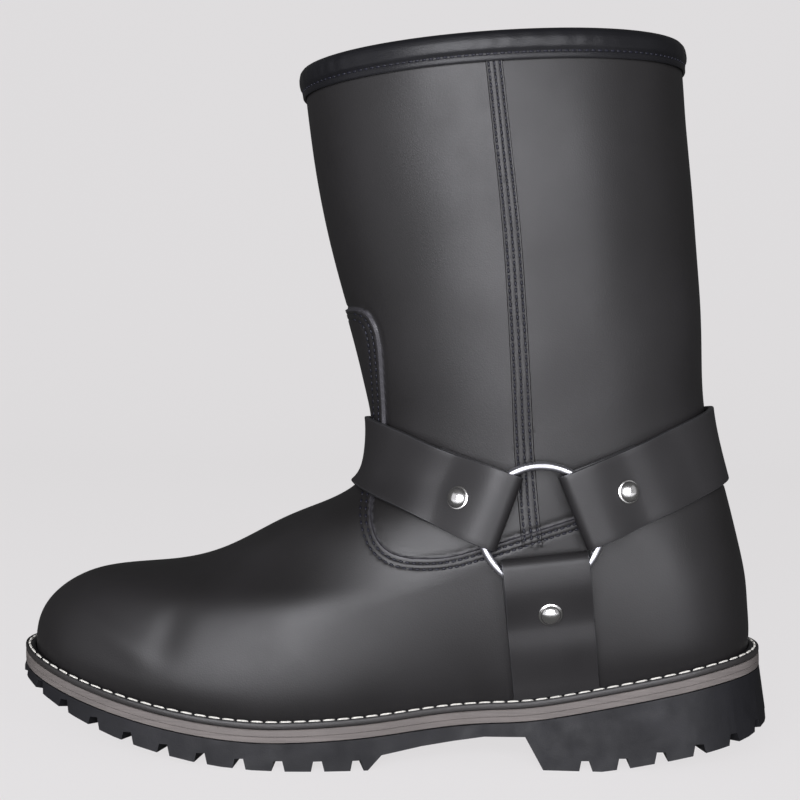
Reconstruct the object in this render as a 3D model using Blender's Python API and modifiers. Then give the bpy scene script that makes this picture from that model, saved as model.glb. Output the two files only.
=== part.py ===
"""Harness boot for the left foot: a pull-on leather boot on a lug sole, with a ring and three straps on each side.

Sizes are in millimetres until a mesh is made. Along the foot, x runs forward from the back of the heel, y is
negative on the outer side and positive on the inner side, and z is up from the ground. The finished boot
points its toe towards -X, rests on Z = 0 and is centred on the origin.
"""

import math

import bmesh
import bpy
import numpy as np
from mathutils import Vector

MM = 0.001
GAP = 0.3
STRAP_GAP = 0.6

# Driving sizes
SOLE_LENGTH = 320.0
WALL = 2.2
STEP = 1.2
SEAM_RAISE = 0.7
STRAP_THICK = 2.2
STRAP_WIDTH = 31.2
SIDE_STRAP_WIDTH = 34.6
RING_RADIUS = 24.0
WIRE_RADIUS = 1.7
RIVET_RADIUS = 4.8
RIVET_HEIGHT = 3.0
RING_SPAN, RING_CLEARANCE = 20.0, 0.4
WELT_REACH = 6.0
WELT_THICK = 2.6
MIDSOLE_THICK = 5.2
INSOLE_THICK = 3.5
GROOVE_DEPTH = 4.0
GROOVE_PITCH = 15.5
GROOVE_MOUTH, GROOVE_FLOOR, GROOVE_RUN = 3.6, 1.7, 10.5
LUG_REACH = 15.0
CUT_BELOW, SOLE_MARGIN = 4.0, 12.0

# Stations along the foot where the widths of the sections are stated
HEEL_X, WAIST_X, BALL_X = 45.0, 115.0, 205.0

# Rings of the upper, from the feather line to the collar. Each ring runs from a point on the back of the boot
# to a point on its front, and says how much of the sole's dip it follows, its half-widths at the heel, waist and
# ball on the outer and inner side, and the length over which its back and its front are rounded.
RING_COLUMNS = (
    "front_x", "front_z", "back_x", "back_z", "dip",
    "heel", "waist_out", "waist_in", "ball_out", "ball_in",
    "round_back", "round_front", "power_front",
)
RINGS = np.array(
    [
        (311.8, 43.0, 8.3, 38.8, 1.00, 31.0, 31.0, 27.5, 45.5, 46.5, 34, 106, 2.25),
        (311.6, 52.5, 7.6, 48.0, 0.93, 34.2, 34.5, 31.5, 48.8, 49.5, 38, 108, 2.20),
        (305.6, 66.2, 8.0, 58.0, 0.78, 35.5, 37.0, 35.0, 48.6, 49.2, 40, 114, 2.12),
        (286.2, 79.6, 8.6, 68.0, 0.58, 35.8, 38.5, 37.2, 46.2, 46.8, 42, 118, 2.05),
        (258.0, 83.2, 10.2, 78.0, 0.40, 35.6, 39.2, 38.4, 44.2, 44.6, 44, 124, 2.00),
        (230.1, 87.2, 12.8, 90.0, 0.24, 35.2, 39.8, 39.2, 43.0, 43.2, 48, 124, 2.00),
        (205.0, 96.6, 15.6, 102.0, 0.12, 35.2, 40.2, 39.8, 42.0, 42.0, 53, 118, 2.00),
        (184.6, 102.6, 18.6, 114.0, 0.04, 36.2, 40.6, 40.4, 41.2, 41.2, 58, 106, 2.00),
        (169.8, 110.5, 21.4, 126.0, 0.00, 37.8, 41.0, 41.0, 41.2, 41.2, 63, 92, 2.00),
        (164.7, 123.0, 23.4, 138.0, 0.00, 39.6, 41.6, 41.6, 41.6, 41.6, 67, 80, 2.00),
        (164.0, 138.0, 24.2, 150.0, 0.00, 41.6, 42.6, 42.6, 42.6, 42.6, 70, 73, 2.00),
        (167.0, 154.0, 24.4, 164.0, 0.00, 43.8, 44.0, 44.0, 44.0, 44.0, 72, 72, 2.00),
        (174.0, 184.0, 25.0, 188.0, 0.00, 46.8, 46.8, 46.8, 46.8, 46.8, 75, 75, 2.00),
        (182.8, 220.0, 27.2, 222.0, 0.00, 50.0, 50.0, 50.0, 50.0, 50.0, 78, 78, 2.00),
        (188.2, 254.0, 29.6, 257.0, 0.00, 52.2, 52.2, 52.2, 52.2, 52.2, 79, 79, 2.00),
        (191.2, 284.0, 31.6, 290.0, 0.00, 53.4, 53.4, 53.4, 53.4, 53.4, 80, 80, 2.00),
    ]
)
POWER_BACK = 2.05
SWING_START, SWING_AT_TOE = 110.0, 7.0

# Side view of the sole: the tread on the ground, and the top of the rubber, which the midsole lies on
TREAD = np.array(
    [
        (0, 16.5), (12, 12.8), (21, 10.6), (30, 8.6), (45, 5.2), (61, 1.9), (73, 0), (96.5, 0), (103.5, 13.2),
        (120, 12.6), (145, 9.0), (161, 5.9), (166.5, 0),
    ]
)
RUBBER_TOP = np.array(
    [
        (0, 31.8), (26, 28.8), (46, 24.8), (66, 21.0), (85, 17.7), (103, 15.4), (118, 14.9), (135, 14.2),
        (162, 12.0), (200, 11.0),
    ]
)
SPRING_START, SPRING_RISE, SPRING_POWER = 204.0, 26.0, 1.7
TREAD_RISE, TREAD_POWER = 30.0, 2.0
# The last is drawn with its ball level; the boot is then tipped forward about PIVOT_X by this angle
PITCH = math.radians(2.0)
PIVOT_X = 190.0

# Side view of the vamp's edge: its tongue climbs the shin, and below the instep it runs back to the heel
VAMP_EDGE = [
    (200, 185.2), (171.5, 184.6), (165.1, 182.6), (161.2, 177.0), (159.5, 169.0), (158.7, 154.5), (158.3, 143.0),
    (158.6, 132.0), (160.2, 120.0), (163.0, 109.0), (164.3, 101.0), (163.4, 94.3), (161.3, 89.4), (157.6, 85.6),
    (151.6, 83.2), (141.5, 82.4), (131.5, 83.3), (124.0, 85.2), (113.3, 88.2), (102.6, 91.5), (94.8, 93.9),
    (81.7, 97.8), (60.0, 104.0), (40.0, 108.5), (-20.0, 113.0),
]
SIDE_SEAM = [(111.6, 274), (109, 246), (106.2, 215), (104.4, 185), (103, 153), (101.8, 121), (99.4, 86)]
SEAM_WIDTH = 8.0

# Side view of the harness: the ring's centre, the way each strap leaves it, and where its rivet is,
# along the strap and across it
RING_CENTRE = (96.4, 95.6)
FRONT_STRAP_ANGLE = 21.5
BACK_STRAP_ANGLE = 159.0
SIDE_STRAP_ANGLE = -95.0
RIVET_AT = {"front": (33.0, -1.5), "back": (36.0, 0.0), "side": (34.5, 0.0)}
FOLD_CLEARANCE = 0.4
SIDE_STRAP_RISE = 2.2
LAYERS_MEET, TAIL_END, LAY_DOWN = 35.0, 46.0, 56.0

OUTER, INNER = -1, 1
HALF_COLUMNS = 20


def spline(xs, ys, x):
    """Natural cubic spline through the table's points: the second slope is zero at both ends."""
    xs, ys = np.asarray(xs, float), np.asarray(ys, float)
    step, count = np.diff(xs), len(xs)
    matrix, right = np.eye(count), np.zeros(count)
    for i in range(1, count - 1):
        matrix[i, i - 1 : i + 2] = step[i - 1], 2 * (step[i - 1] + step[i]), step[i]
        right[i] = 6 * ((ys[i + 1] - ys[i]) / step[i] - (ys[i] - ys[i - 1]) / step[i - 1])
    bend = np.linalg.solve(matrix, right)
    x = np.asarray(x, float)
    i = np.clip(np.searchsorted(xs, x, side="right") - 1, 0, count - 2)
    h, a, b = step[i], xs[i + 1] - x, x - xs[i]
    return (
        (bend[i] * a**3 + bend[i + 1] * b**3) / (6 * h)
        + (ys[i] / h - bend[i] * h / 6) * a
        + (ys[i + 1] / h - bend[i + 1] * h / 6) * b
    )


def ease(t):
    t = np.clip(t, 0, 1)
    return t * t * (3 - 2 * t)


def cap(distance, length, power):
    """Rises from 0 at an end to 1 at length from it, as a quarter of a superellipse does."""
    t = np.clip(distance / length, 0, 1)
    return np.maximum(1 - (1 - t) ** power, 0) ** (1 / power)


def swing(x):
    """How far the middle line of the foot lies to the inner side: the toe turns inwards."""
    return SWING_AT_TOE * (np.maximum(x - SWING_START, 0) / (SOLE_LENGTH - SWING_START)) ** 2


def toe_spring(x, rise, power):
    return rise * (np.maximum(x - SPRING_START, 0) / (SOLE_LENGTH - SPRING_START)) ** power


def tread_z(x):
    """The underside of the lugs: TREAD and the toe spring stand on the ground, which the pitch slopes."""
    ground = (x - PIVOT_X) * math.tan(PITCH)
    return ground + np.interp(x, TREAD[:, 0], TREAD[:, 1]) + toe_spring(x, TREAD_RISE, TREAD_POWER)


def rubber_top_z(x):
    held = np.clip(x, RUBBER_TOP[0, 0], RUBBER_TOP[-1, 0])
    return spline(RUBBER_TOP[:, 0], RUBBER_TOP[:, 1], held) + toe_spring(x, SPRING_RISE, SPRING_POWER)


def midsole_top_z(x):
    return rubber_top_z(x) + GAP + MIDSOLE_THICK


def feather_z(x):
    """The line where the upper stands on the midsole."""
    return midsole_top_z(x) + GAP


def ring_values(v):
    """Each column of RINGS at v, which runs from 0 at the feather line to 1 at the collar."""
    index = np.linspace(0, 1, len(RINGS))
    return {name: spline(index, RINGS[:, i], v) for i, name in enumerate(RING_COLUMNS)}


def surface(v, a):
    """The upper's outer face. The angle a is 0 at the back, pi / 2 on the outer side and pi at the front."""
    v, a = np.broadcast_arrays(np.asarray(v, float), np.asarray(a, float))
    ring = ring_values(v)
    share = (1 - np.cos(a)) / 2
    length = ring["front_x"] - ring["back_x"]
    x = ring["back_x"] + length * share
    chord = np.interp(x, RINGS[0, [2, 0]], RINGS[0, [3, 1]])
    z = ring["back_z"] + (ring["front_z"] - ring["back_z"]) * share + ring["dip"] * (feather_z(x) - chord)
    outside = np.sin(a) > 0
    waist = np.where(outside, ring["waist_out"], ring["waist_in"])
    ball = np.where(outside, ring["ball_out"], ring["ball_in"])
    half = ring["heel"] + (waist - ring["heel"]) * ease((x - HEEL_X) / (WAIST_X - HEEL_X))
    half = half + (ball - waist) * ease((x - WAIST_X) / (BALL_X - WAIST_X))
    half = half * cap(length * share, ring["round_back"], POWER_BACK)
    half = half * cap(length * (1 - share), ring["round_front"], ring["power_front"])
    return np.stack([x, swing(x) + np.where(outside, -half, half), z], axis=-1)


def surface_normal(v, a):
    """Points out of the boot."""
    dv, da = 2e-3, 2e-3
    low, high = np.clip(v - dv, 0, 1), np.clip(v + dv, 0, 1)
    up = surface(high, a) - surface(low, a)
    round_it = surface(v, a + da) - surface(v, a - da)
    normal = np.cross(round_it, up)
    return normal / np.linalg.norm(normal, axis=-1, keepdims=True)


def offset_surface(v, a, out):
    out = np.asarray(out, float)
    return surface(v, a) + surface_normal(v, a) * out[..., None]


def place_in_side_view(x, z, side):
    """(v, a) of the point of the outer or inner side that the side view shows at x, z."""
    x, z = np.broadcast_arrays(np.asarray(x, float), np.asarray(z, float))
    v = np.linspace(0, 1, 401)
    ring = ring_values(v)
    share = (x[..., None] - ring["back_x"]) / (ring["front_x"] - ring["back_x"])
    chord = np.interp(x, RINGS[0, [2, 0]], RINGS[0, [3, 1]])
    dip = ring["dip"] * (feather_z(x) - chord)[..., None]
    above = ring["back_z"] + (ring["front_z"] - ring["back_z"]) * share + dip - z[..., None]
    i = np.clip((above < 0).sum(axis=-1) - 1, 0, len(v) - 2)[..., None]
    low = np.take_along_axis(above, i, -1)[..., 0]
    high = np.take_along_axis(above, i + 1, -1)[..., 0]
    part = np.clip(-low / (high - low), 0, 1)
    found = v[i[..., 0]] + part * (v[1] - v[0])
    at = ring_values(found)
    share = np.clip((x - at["back_x"]) / (at["front_x"] - at["back_x"]), 0, 1)
    a = np.arccos(1 - 2 * share)
    return found, a if side == OUTER else 2 * math.pi - a


def sole_edge(a, grow):
    """The feather line in plan, moved outwards by grow."""
    step = 1e-3
    here, ahead, behind = (surface(0.0, a + d)[..., :2] for d in (0, step, -step))
    along = ahead - behind
    along = along / np.linalg.norm(along, axis=-1, keepdims=True)
    normal = np.stack([along[..., 1], -along[..., 0]], axis=-1)
    middle = np.array([150.0, 0.0])
    normal = normal * np.sign(((here - middle) * normal).sum(-1, keepdims=True))
    return here + normal * np.asarray(grow, float)[..., None]


# Making meshes


def new_material(name, colour, roughness, metallic=0.0):
    material = bpy.data.materials.new(name)
    material.use_nodes = True
    shader = material.node_tree.nodes["Principled BSDF"]
    shader.inputs["Base Color"].default_value = (*colour, 1)
    shader.inputs["Roughness"].default_value = roughness
    shader.inputs["Metallic"].default_value = metallic
    return material


def to_frame(points):
    """Along-the-foot millimetres, tipped forward by the pitch, as the finished frame's metres."""
    x, y, z = (np.asarray(points, float).reshape(-1, 3) - [PIVOT_X, 0, 0]).T
    x, z = x * math.cos(PITCH) + z * math.sin(PITCH), z * math.cos(PITCH) - x * math.sin(PITCH)
    return np.stack([SOLE_LENGTH / 2 - PIVOT_X - x, y, z], axis=1) * MM


def stand(obj, foot, out):
    """Puts an object's origin at foot with its Z axis along out, both along the foot."""
    ends = to_frame([foot, np.asarray(foot) + out])
    obj.location = ends[0]
    obj.rotation_euler = Vector(ends[1] - ends[0]).to_track_quat("Z", "Y").to_euler()


def new_object(name, points, faces, collection, material=None):
    """A mesh object from points given along the foot; without a material it is a cutter."""
    placed = to_frame(points)
    mesh = bpy.data.meshes.new(name)
    mesh.from_pydata(placed.tolist(), [], [tuple(int(i) for i in f) for f in faces])
    tidy = bmesh.new()
    tidy.from_mesh(mesh)
    bmesh.ops.remove_doubles(tidy, verts=tidy.verts, dist=1e-6)
    bmesh.ops.triangulate(tidy, faces=tidy.faces)
    bmesh.ops.recalc_face_normals(tidy, faces=tidy.faces)
    tidy.to_mesh(mesh)
    tidy.free()
    obj = bpy.data.objects.new(name, mesh)
    collection.objects.link(obj)
    if material:
        mesh.materials.append(material)
    else:
        obj.hide_render = True
        obj.display_type = "WIRE"
    return obj


def cutter(name, points, faces):
    return new_object(name, points, faces, bpy.data.collections["cutters"])


def cut(obj, other, operation="DIFFERENCE"):
    modifier = obj.modifiers.new(operation.lower(), "BOOLEAN")
    modifier.object = other
    modifier.operation = operation
    modifier.solver = "EXACT"


def grid_faces(rows, columns, wrap_columns=False, wrap_rows=False, start=0):
    """Quads of a grid whose points are stored row by row."""
    faces = []
    for i in range(rows if wrap_rows else rows - 1):
        for j in range(columns if wrap_columns else columns - 1):
            nearer, farther = i * columns, (i + 1) % rows * columns
            k = (j + 1) % columns
            faces.append([start + nearer + j, start + nearer + k, start + farther + k, start + farther + j])
    return faces


def closed_loft(rings):
    """A solid through rings of equal count, whose ends are closed by strips between its two sides."""
    rings = np.asarray(rings)
    rows, columns = rings.shape[:2]
    faces = grid_faces(rows, columns, wrap_columns=True)
    for base in (0, (rows - 1) * columns):
        for j in range(columns // 2):
            near, far = base + (columns - j - 1) % columns, base + (columns - j) % columns
            faces.append([base + j, base + j + 1, near, far])
    faces = [list(dict.fromkeys(f)) for f in faces]
    return rings.reshape(-1, 3), [f for f in faces if len(f) > 2]


def new_strap(name, middle, collection, material):
    """A strap's middle face as an open grid, given its thickness to both sides."""
    faces = grid_faces(*middle.shape[:2])
    strap = new_object(name, middle, faces, collection, material)
    modifier = strap.modifiers.new("thickness", "SOLIDIFY")
    modifier.thickness = STRAP_THICK * MM
    modifier.offset = 0
    modifier.use_even_offset = True
    return strap


def side_prism(outline, half_width=90.0):
    """A side-view outline carried right across the boot."""
    outline = np.asarray(outline, float)
    count = len(outline)
    both = [np.column_stack([outline[:, 0], np.full(count, y), outline[:, 1]]) for y in (-half_width, half_width)]
    faces = [list(range(count)), list(range(2 * count - 1, count - 1, -1))]
    faces += [[i, (i + 1) % count, count + (i + 1) % count, count + i] for i in range(count)]
    return np.concatenate(both), faces


# The upper


def column_angles():
    return np.arange(2 * HALF_COLUMNS) * math.pi / HALF_COLUMNS


def upper_form(out, below, above, rows=24):
    """The upper's function as a solid, grown by out and run on past the feather line and the collar."""
    a = column_angles()
    v = np.linspace(0, 1, rows)[:, None]
    rings = offset_surface(v, a[None, :], np.full((rows, len(a)), float(out)))
    foot, top = rings[0].copy(), rings[-1].copy()
    foot[:, 2] -= below
    top[:, 2] += above
    parts = ([foot] if below else []) + list(rings) + ([top] if above else [])
    return closed_loft(parts)


def seam_outline():
    """The strip of the side seam in side view, a little wider towards its foot."""
    line = np.array(SIDE_SEAM)
    half = np.linspace(0.8, 1.0, len(line)) * SEAM_WIDTH / 2
    front = np.column_stack([line[:, 0] + half, line[:, 1]])
    back = np.column_stack([line[:, 0] - half, line[:, 1]])
    return np.concatenate([front, back[::-1]])


def sole_block():
    """What the foot of the upper is cut along: everything under the feather line."""
    a = column_angles()
    edge = sole_edge(a, np.full(len(a), SOLE_MARGIN))
    top = np.column_stack([edge, feather_z(edge[:, 0])])
    under = top - [0, 0, 20.0]
    return closed_loft([under, top])


def make_upper(collection, leather):
    upper = new_object("upper", *upper_form(0.0, 5.0, 0.0), collection, leather)
    vamp = cutter("vamp_form", *upper_form(STEP, 7.0, 0.0))
    around = VAMP_EDGE + [(-20.0, -20.0), (340.0, -20.0), (340.0, 120.0)]
    cut(vamp, cutter("vamp_outline", *side_prism(around)), "INTERSECT")
    seam = cutter("seam_form", *upper_form(SEAM_RAISE, 0.0, 0.0))
    cut(seam, cutter("seam_outline", *side_prism(seam_outline())), "INTERSECT")
    cut(upper, vamp, "UNION")
    cut(upper, seam, "UNION")
    cut(upper, cutter("upper_inside", *upper_form(-WALL, 9.0, 8.0)))
    cut(upper, cutter("sole_block", *sole_block()))
    return upper


def make_binding(collection, leather):
    """A rolled strip over the collar's edge: its section is out from the wall's face and up from its edge."""
    section = np.array(
        [
            (GAP, GAP), (GAP, -9.8), (1.1, -9.8), (1.2, -7.4), (2.0, -5.6), (2.1, -1.6), (1.1, 1.2),
            (-1.1, 2.2), (-3.3, 1.2), (-4.1, -1.8), (-3.6, -9.8), (-WALL - GAP, -9.8), (-WALL - GAP, GAP),
        ]
    )
    a = column_angles()
    edge, normal = surface(1.0, a), surface_normal(1.0, a)
    up = surface(1.0, a) - surface(0.98, a)
    up = up / np.linalg.norm(up, axis=-1, keepdims=True)
    points = edge[:, None] + normal[:, None] * section[:, :1] + up[:, None] * section[:, 1:]
    faces = grid_faces(len(a), len(section), wrap_columns=True, wrap_rows=True)
    return new_object("collar_binding", points, faces, collection, leather)


# The sole


def edge_angles():
    """Angles for the sole's outline: even ones, and on each side those where the tread's side view turns."""
    fine, even = np.linspace(0, math.pi, 2001), np.linspace(0, math.pi, 37)
    sides = []
    for side in (1, -1):
        edge_x = sole_edge(side * fine, WELT_REACH + flare(fine))[:, 0]
        turning = np.interp(TREAD[1:, 0], edge_x, fine)
        kept = [a for a in even if np.abs(turning - a).min() > 0.03]
        sides.append(np.sort(np.concatenate([kept, turning])))
    return np.concatenate([sides[0], 2 * math.pi - sides[1][-2:0:-1]])


def plate(a, grow_low, grow_high, low, high):
    """A layer of the sole between two heights, which are functions of x."""
    rings = []
    for grow, height in ((grow_low, low), (grow_high, high)):
        edge = sole_edge(a, np.broadcast_to(grow, a.shape))
        rings.append(np.column_stack([edge, height(edge[:, 0])]))
    return closed_loft(rings)


def flare(a):
    """How much wider the rubber is at the ground than at its top: most behind the heel."""
    x = surface(0.0, a)[:, 0]
    return 0.8 + 1.8 * (1 - ease((x - 100.0) / 30.0))


def groove_places(first, last, pitch):
    """Angles along the tread's edge, evenly spaced by length between two angles."""
    a = np.linspace(first, last, 2000)
    edge = sole_edge(a, np.full(len(a), WELT_REACH))
    length = np.concatenate([[0], np.cumsum(np.linalg.norm(np.diff(edge, axis=0), axis=1))])
    count = round(length[-1] / pitch)
    return np.interp((np.arange(count) + 0.5) * length[-1] / count, length, a)


def angle_at(x):
    back, front = RINGS[0, 2], RINGS[0, 0]
    return math.acos(1 - 2 * (x - back) / (front - back))


def groove_cutters():
    """Wedges across the tread's edge, between its lugs."""
    toe_side, heel_side = angle_at(164.6), angle_at(87.0)
    places = np.concatenate(
        [
            groove_places(toe_side, 2 * math.pi - toe_side, GROOVE_PITCH),
            groove_places(-heel_side, heel_side, GROOVE_PITCH),
        ]
    )
    points, faces = [], []
    outside = sole_edge(places, np.full(len(places), SOLE_MARGIN))
    inside = sole_edge(places, np.full(len(places), -GROOVE_RUN))
    for near, far in zip(outside, inside):
        along = np.array([far[1] - near[1], near[0] - far[0]]) / np.linalg.norm(far - near)
        base = len(points)
        for end in (near, far):
            for half, up in (
                (GROOVE_MOUTH, -CUT_BELOW), (GROOVE_FLOOR, GROOVE_DEPTH),
                (-GROOVE_FLOOR, GROOVE_DEPTH), (-GROOVE_MOUTH, -CUT_BELOW),
            ):
                spot = end + along * half
                points.append((*spot, float(tread_z(end[0])) + up))
        faces += [[base, base + 1, base + 2, base + 3], [base + 7, base + 6, base + 5, base + 4]]
        faces += [[base + j, base + (j + 1) % 4, base + 4 + (j + 1) % 4, base + 4 + j] for j in range(4)]
    return points, faces


def field_cutter(first_x, last_x):
    """The hollow field of the tread inside its edge lugs, between two places along the foot."""
    half = np.linspace(angle_at(first_x), angle_at(last_x), 12)
    points = []
    for up in (-CUT_BELOW, GROOVE_DEPTH - 0.8):
        for a in (half, 2 * math.pi - half):
            edge = sole_edge(a, np.full(len(a), WELT_REACH - LUG_REACH))
            points.append(np.column_stack([edge, tread_z(edge[:, 0]) + up]))
    count = len(half)
    faces = []
    for j in range(count - 1):
        for low, high in ((0, count), (count, 3 * count), (3 * count, 2 * count), (2 * count, 0)):
            faces.append([low + j, low + j + 1, high + j + 1, high + j])
    for j in (0, count - 1):
        faces.append([j, count + j, 3 * count + j, 2 * count + j])
    return np.concatenate(points), faces


def centre_lugs():
    """Crosses down the middle of the forefoot and a pair of bars in the heel, rooted in the field's floor."""
    cross = np.array([(3, 10), (3, 3), (8, 3), (8, -3), (3, -3), (3, -10)])
    cross = np.concatenate([cross, -cross])
    bar = np.array([(4, 13), (4, -13), (-4, -13), (-4, 13)])
    shapes = [(x, cross) for x in (190, 212, 234, 256, 277)] + [(x, bar) for x in (38, 58, 76)]
    points, faces = [], []
    for x, shape in shapes:
        outline = shape + [x, float(swing(x))]
        base, count = len(points), len(outline)
        for up in (0.2, GROOVE_DEPTH + 1.2):
            points += [(px, py, float(tread_z(px)) + up) for px, py in outline]
        faces += [[base + i for i in range(count)], [base + 2 * count - 1 - i for i in range(count)]]
        for i in range(count):
            k = (i + 1) % count
            faces.append([base + i, base + k, base + count + k, base + count + i])
    return points, faces


def make_sole(collection, rubber, brown, leather):
    a = edge_angles()
    block = plate(a, WELT_REACH + flare(a), WELT_REACH, tread_z, rubber_top_z)
    outsole = new_object("outsole", *block, collection, rubber)
    cut(outsole, cutter("grooves", *groove_cutters()))
    cut(outsole, cutter("forefoot_field", *field_cutter(180.0, 297.0)))
    cut(outsole, cutter("heel_field", *field_cutter(24.0, 86.0)))
    cut(outsole, cutter("centre_lugs", *centre_lugs()), "UNION")
    even = column_angles()
    new_object(
        "midsole",
        *plate(even, WELT_REACH, WELT_REACH, lambda x: rubber_top_z(x) + GAP, midsole_top_z),
        collection,
        brown,
    )
    welt_points, welt_faces = welt_ring(even)
    new_object("welt", welt_points, welt_faces, collection, leather)
    new_object(
        "insole",
        *plate(even, -WALL - 1.0, -WALL - 1.0, feather_z, lambda x: feather_z(x) + INSOLE_THICK),
        collection,
        brown,
    )


def welt_ring(a):
    """A flat strip from just outside the upper to the midsole's edge."""
    corners = []
    for grow, up in ((STEP + 1.6, 0.0), (WELT_REACH, 0.0), (WELT_REACH, WELT_THICK), (STEP + 1.6, WELT_THICK)):
        edge = sole_edge(a, np.full(len(a), grow))
        corners.append(np.column_stack([edge, feather_z(edge[:, 0]) + up]))
    return np.stack(corners, axis=1), grid_faces(len(a), 4, wrap_columns=True, wrap_rows=True)


# The harness


def ring_frame(side):
    """Centre of a ring and three directions: forward along the boot, up, and out of the leather."""
    v, a = place_in_side_view(*RING_CENTRE, side)
    ways = ((RING_SPAN, 0), (-RING_SPAN, 0), (0, RING_SPAN), (0, -RING_SPAN))
    around = [place_in_side_view(RING_CENTRE[0] + dx, RING_CENTRE[1] + dz, side) for dx, dz in ways]
    corners = [surface(*place) for place in around]
    forward, up = corners[0] - corners[1], corners[2] - corners[3]
    out = np.cross(forward, up) * -side
    out = out / np.linalg.norm(out)
    out = out * np.sign(out[1] * side)
    forward = forward - out * (forward @ out)
    forward = forward / np.linalg.norm(forward)
    up = np.cross(out, forward)
    up = up * np.sign(up[2])
    rise = STEP + STRAP_GAP + STRAP_THICK + GAP + WIRE_RADIUS
    heights = [(surface(*place) - surface(v, a)) @ out for place in around]
    return surface(v, a) + out * (rise + max(0.0, *heights) + RING_CLEARANCE), forward, up, out


def strap_lay(side, angle, half_width, along, across, height):
    """Points on the leather in side view, along a strap's line and across it, at a height over the surface."""
    ahead = np.array([math.cos(math.radians(angle)), math.sin(math.radians(angle))])
    wide = np.array([-ahead[1], ahead[0]])
    spots = np.array(RING_CENTRE) + along[..., None] * ahead + (across * half_width)[..., None] * wide
    v, a = place_in_side_view(spots[..., 0], spots[..., 1], side)
    return surface(v, a) + surface_normal(v, a) * height[..., None]


def layer_share(along):
    """0 where a layer follows the plane of its ring, 1 where it lies on the leather."""
    start = RING_RADIUS + WIRE_RADIUS + 1.0
    return ease((along - start) / (LAYERS_MEET - start))


def strap_layer(side, angle, along, sideways, over_ring, over_leather):
    """Points of a strap's layer: along and sideways in the strap's own line, at two heights that it eases between."""
    centre, forward, up, out = ring_frame(side)
    turn = math.radians(angle)
    ahead = forward * math.cos(turn) + up * math.sin(turn)
    wide = -forward * math.sin(turn) + up * math.cos(turn)
    along, sideways = np.broadcast_arrays(np.asarray(along, float), np.asarray(sideways, float))
    flat = centre + along[..., None] * ahead + sideways[..., None] * wide + out * over_ring
    laid = strap_lay(side, angle, 1.0, along, sideways, np.full(along.shape, over_leather))
    share = layer_share(along)[..., None]
    return flat * (1 - share) + laid * share


LAYER_APART = WIRE_RADIUS + GAP + STRAP_THICK / 2
UNDER_LAYER = STEP + STRAP_GAP + STRAP_THICK / 2
OVER_LAYER = UNDER_LAYER + STRAP_THICK + GAP


def strap_end(side, angle, half_width, across):
    """Rows of a strap's middle face from its tail, round the ring's wire and out to where it lies down."""
    inside = math.sqrt((RING_RADIUS - WIRE_RADIUS) ** 2 - half_width**2)
    fold_at = inside - FOLD_CLEARANCE + LAYER_APART - STRAP_THICK / 2
    sideways = across * half_width
    rows = []
    for along in (TAIL_END, 40.5, LAYERS_MEET, 32.0, 29.5, 27.0, 22.0):
        rows.append(strap_layer(side, angle, along, sideways, -LAYER_APART, UNDER_LAYER))
    for step in range(7):
        bend = math.pi * step / 6
        along = fold_at - LAYER_APART * math.sin(bend)
        rows.append(strap_layer(side, angle, along, sideways, -LAYER_APART * math.cos(bend), 0.0))
    for along in (22.0, 27.0, 29.5, 32.0, LAYERS_MEET, 40.5, TAIL_END):
        rows.append(strap_layer(side, angle, along, sideways, LAYER_APART, OVER_LAYER))
    drop = OVER_LAYER - UNDER_LAYER
    rows.append(strap_layer(side, angle, TAIL_END + 4.0, sideways, 0.0, OVER_LAYER - 0.35 * drop))
    rows.append(strap_layer(side, angle, LAY_DOWN, sideways, 0.0, UNDER_LAYER))
    return rows


def reach_of(angle, across, half_width):
    """How far along each line of a strap the boot's silhouette lies, in side view."""
    v = np.linspace(0, 1, 801)
    ring = ring_values(v)
    forward = abs(angle) < 90
    edge = np.stack([ring["front_x"], ring["front_z"]] if forward else [ring["back_x"], ring["back_z"]], axis=-1)
    ahead = np.array([math.cos(math.radians(angle)), math.sin(math.radians(angle))])
    wide = np.array([-ahead[1], ahead[0]])
    away = (edge - RING_CENTRE) @ ahead
    sideways = (edge - RING_CENTRE) @ wide
    order = np.argsort(sideways)
    near = order[(away[order] > 50) & (np.abs(sideways[order]) < 40)]
    return np.interp(across * half_width, sideways[near], away[near])


def strap_round(angle, half_width, across):
    """Rows over the instep or round the back of the heel, from one side's ring to the other's."""
    reach = reach_of(angle, across, half_width)
    low = UNDER_LAYER
    rows = []
    for turn in np.linspace(0, math.pi / 2, 9)[1:]:
        along = LAY_DOWN + (reach - LAY_DOWN) * math.sin(turn)
        rows.append(strap_lay(OUTER, angle, half_width, along, across, np.full(len(across), low)))
    inner = []
    for turn in np.linspace(0, math.pi / 2, 9)[1:-1]:
        along = LAY_DOWN + (reach - LAY_DOWN) * math.sin(turn)
        inner.append(strap_lay(INNER, angle, half_width, along, across, np.full(len(across), low)))
    return rows, inner[::-1]


def make_wrapped_strap(name, angle, collection, leather):
    across, half = np.linspace(-1, 1, 5), STRAP_WIDTH / 2
    outer = strap_end(OUTER, angle, half, across)
    inner = strap_end(INNER, angle, half, across)
    to_front, from_front = strap_round(angle, half, across)
    return new_strap(name, np.array(outer + to_front + from_front + inner[::-1]), collection, leather)


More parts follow.
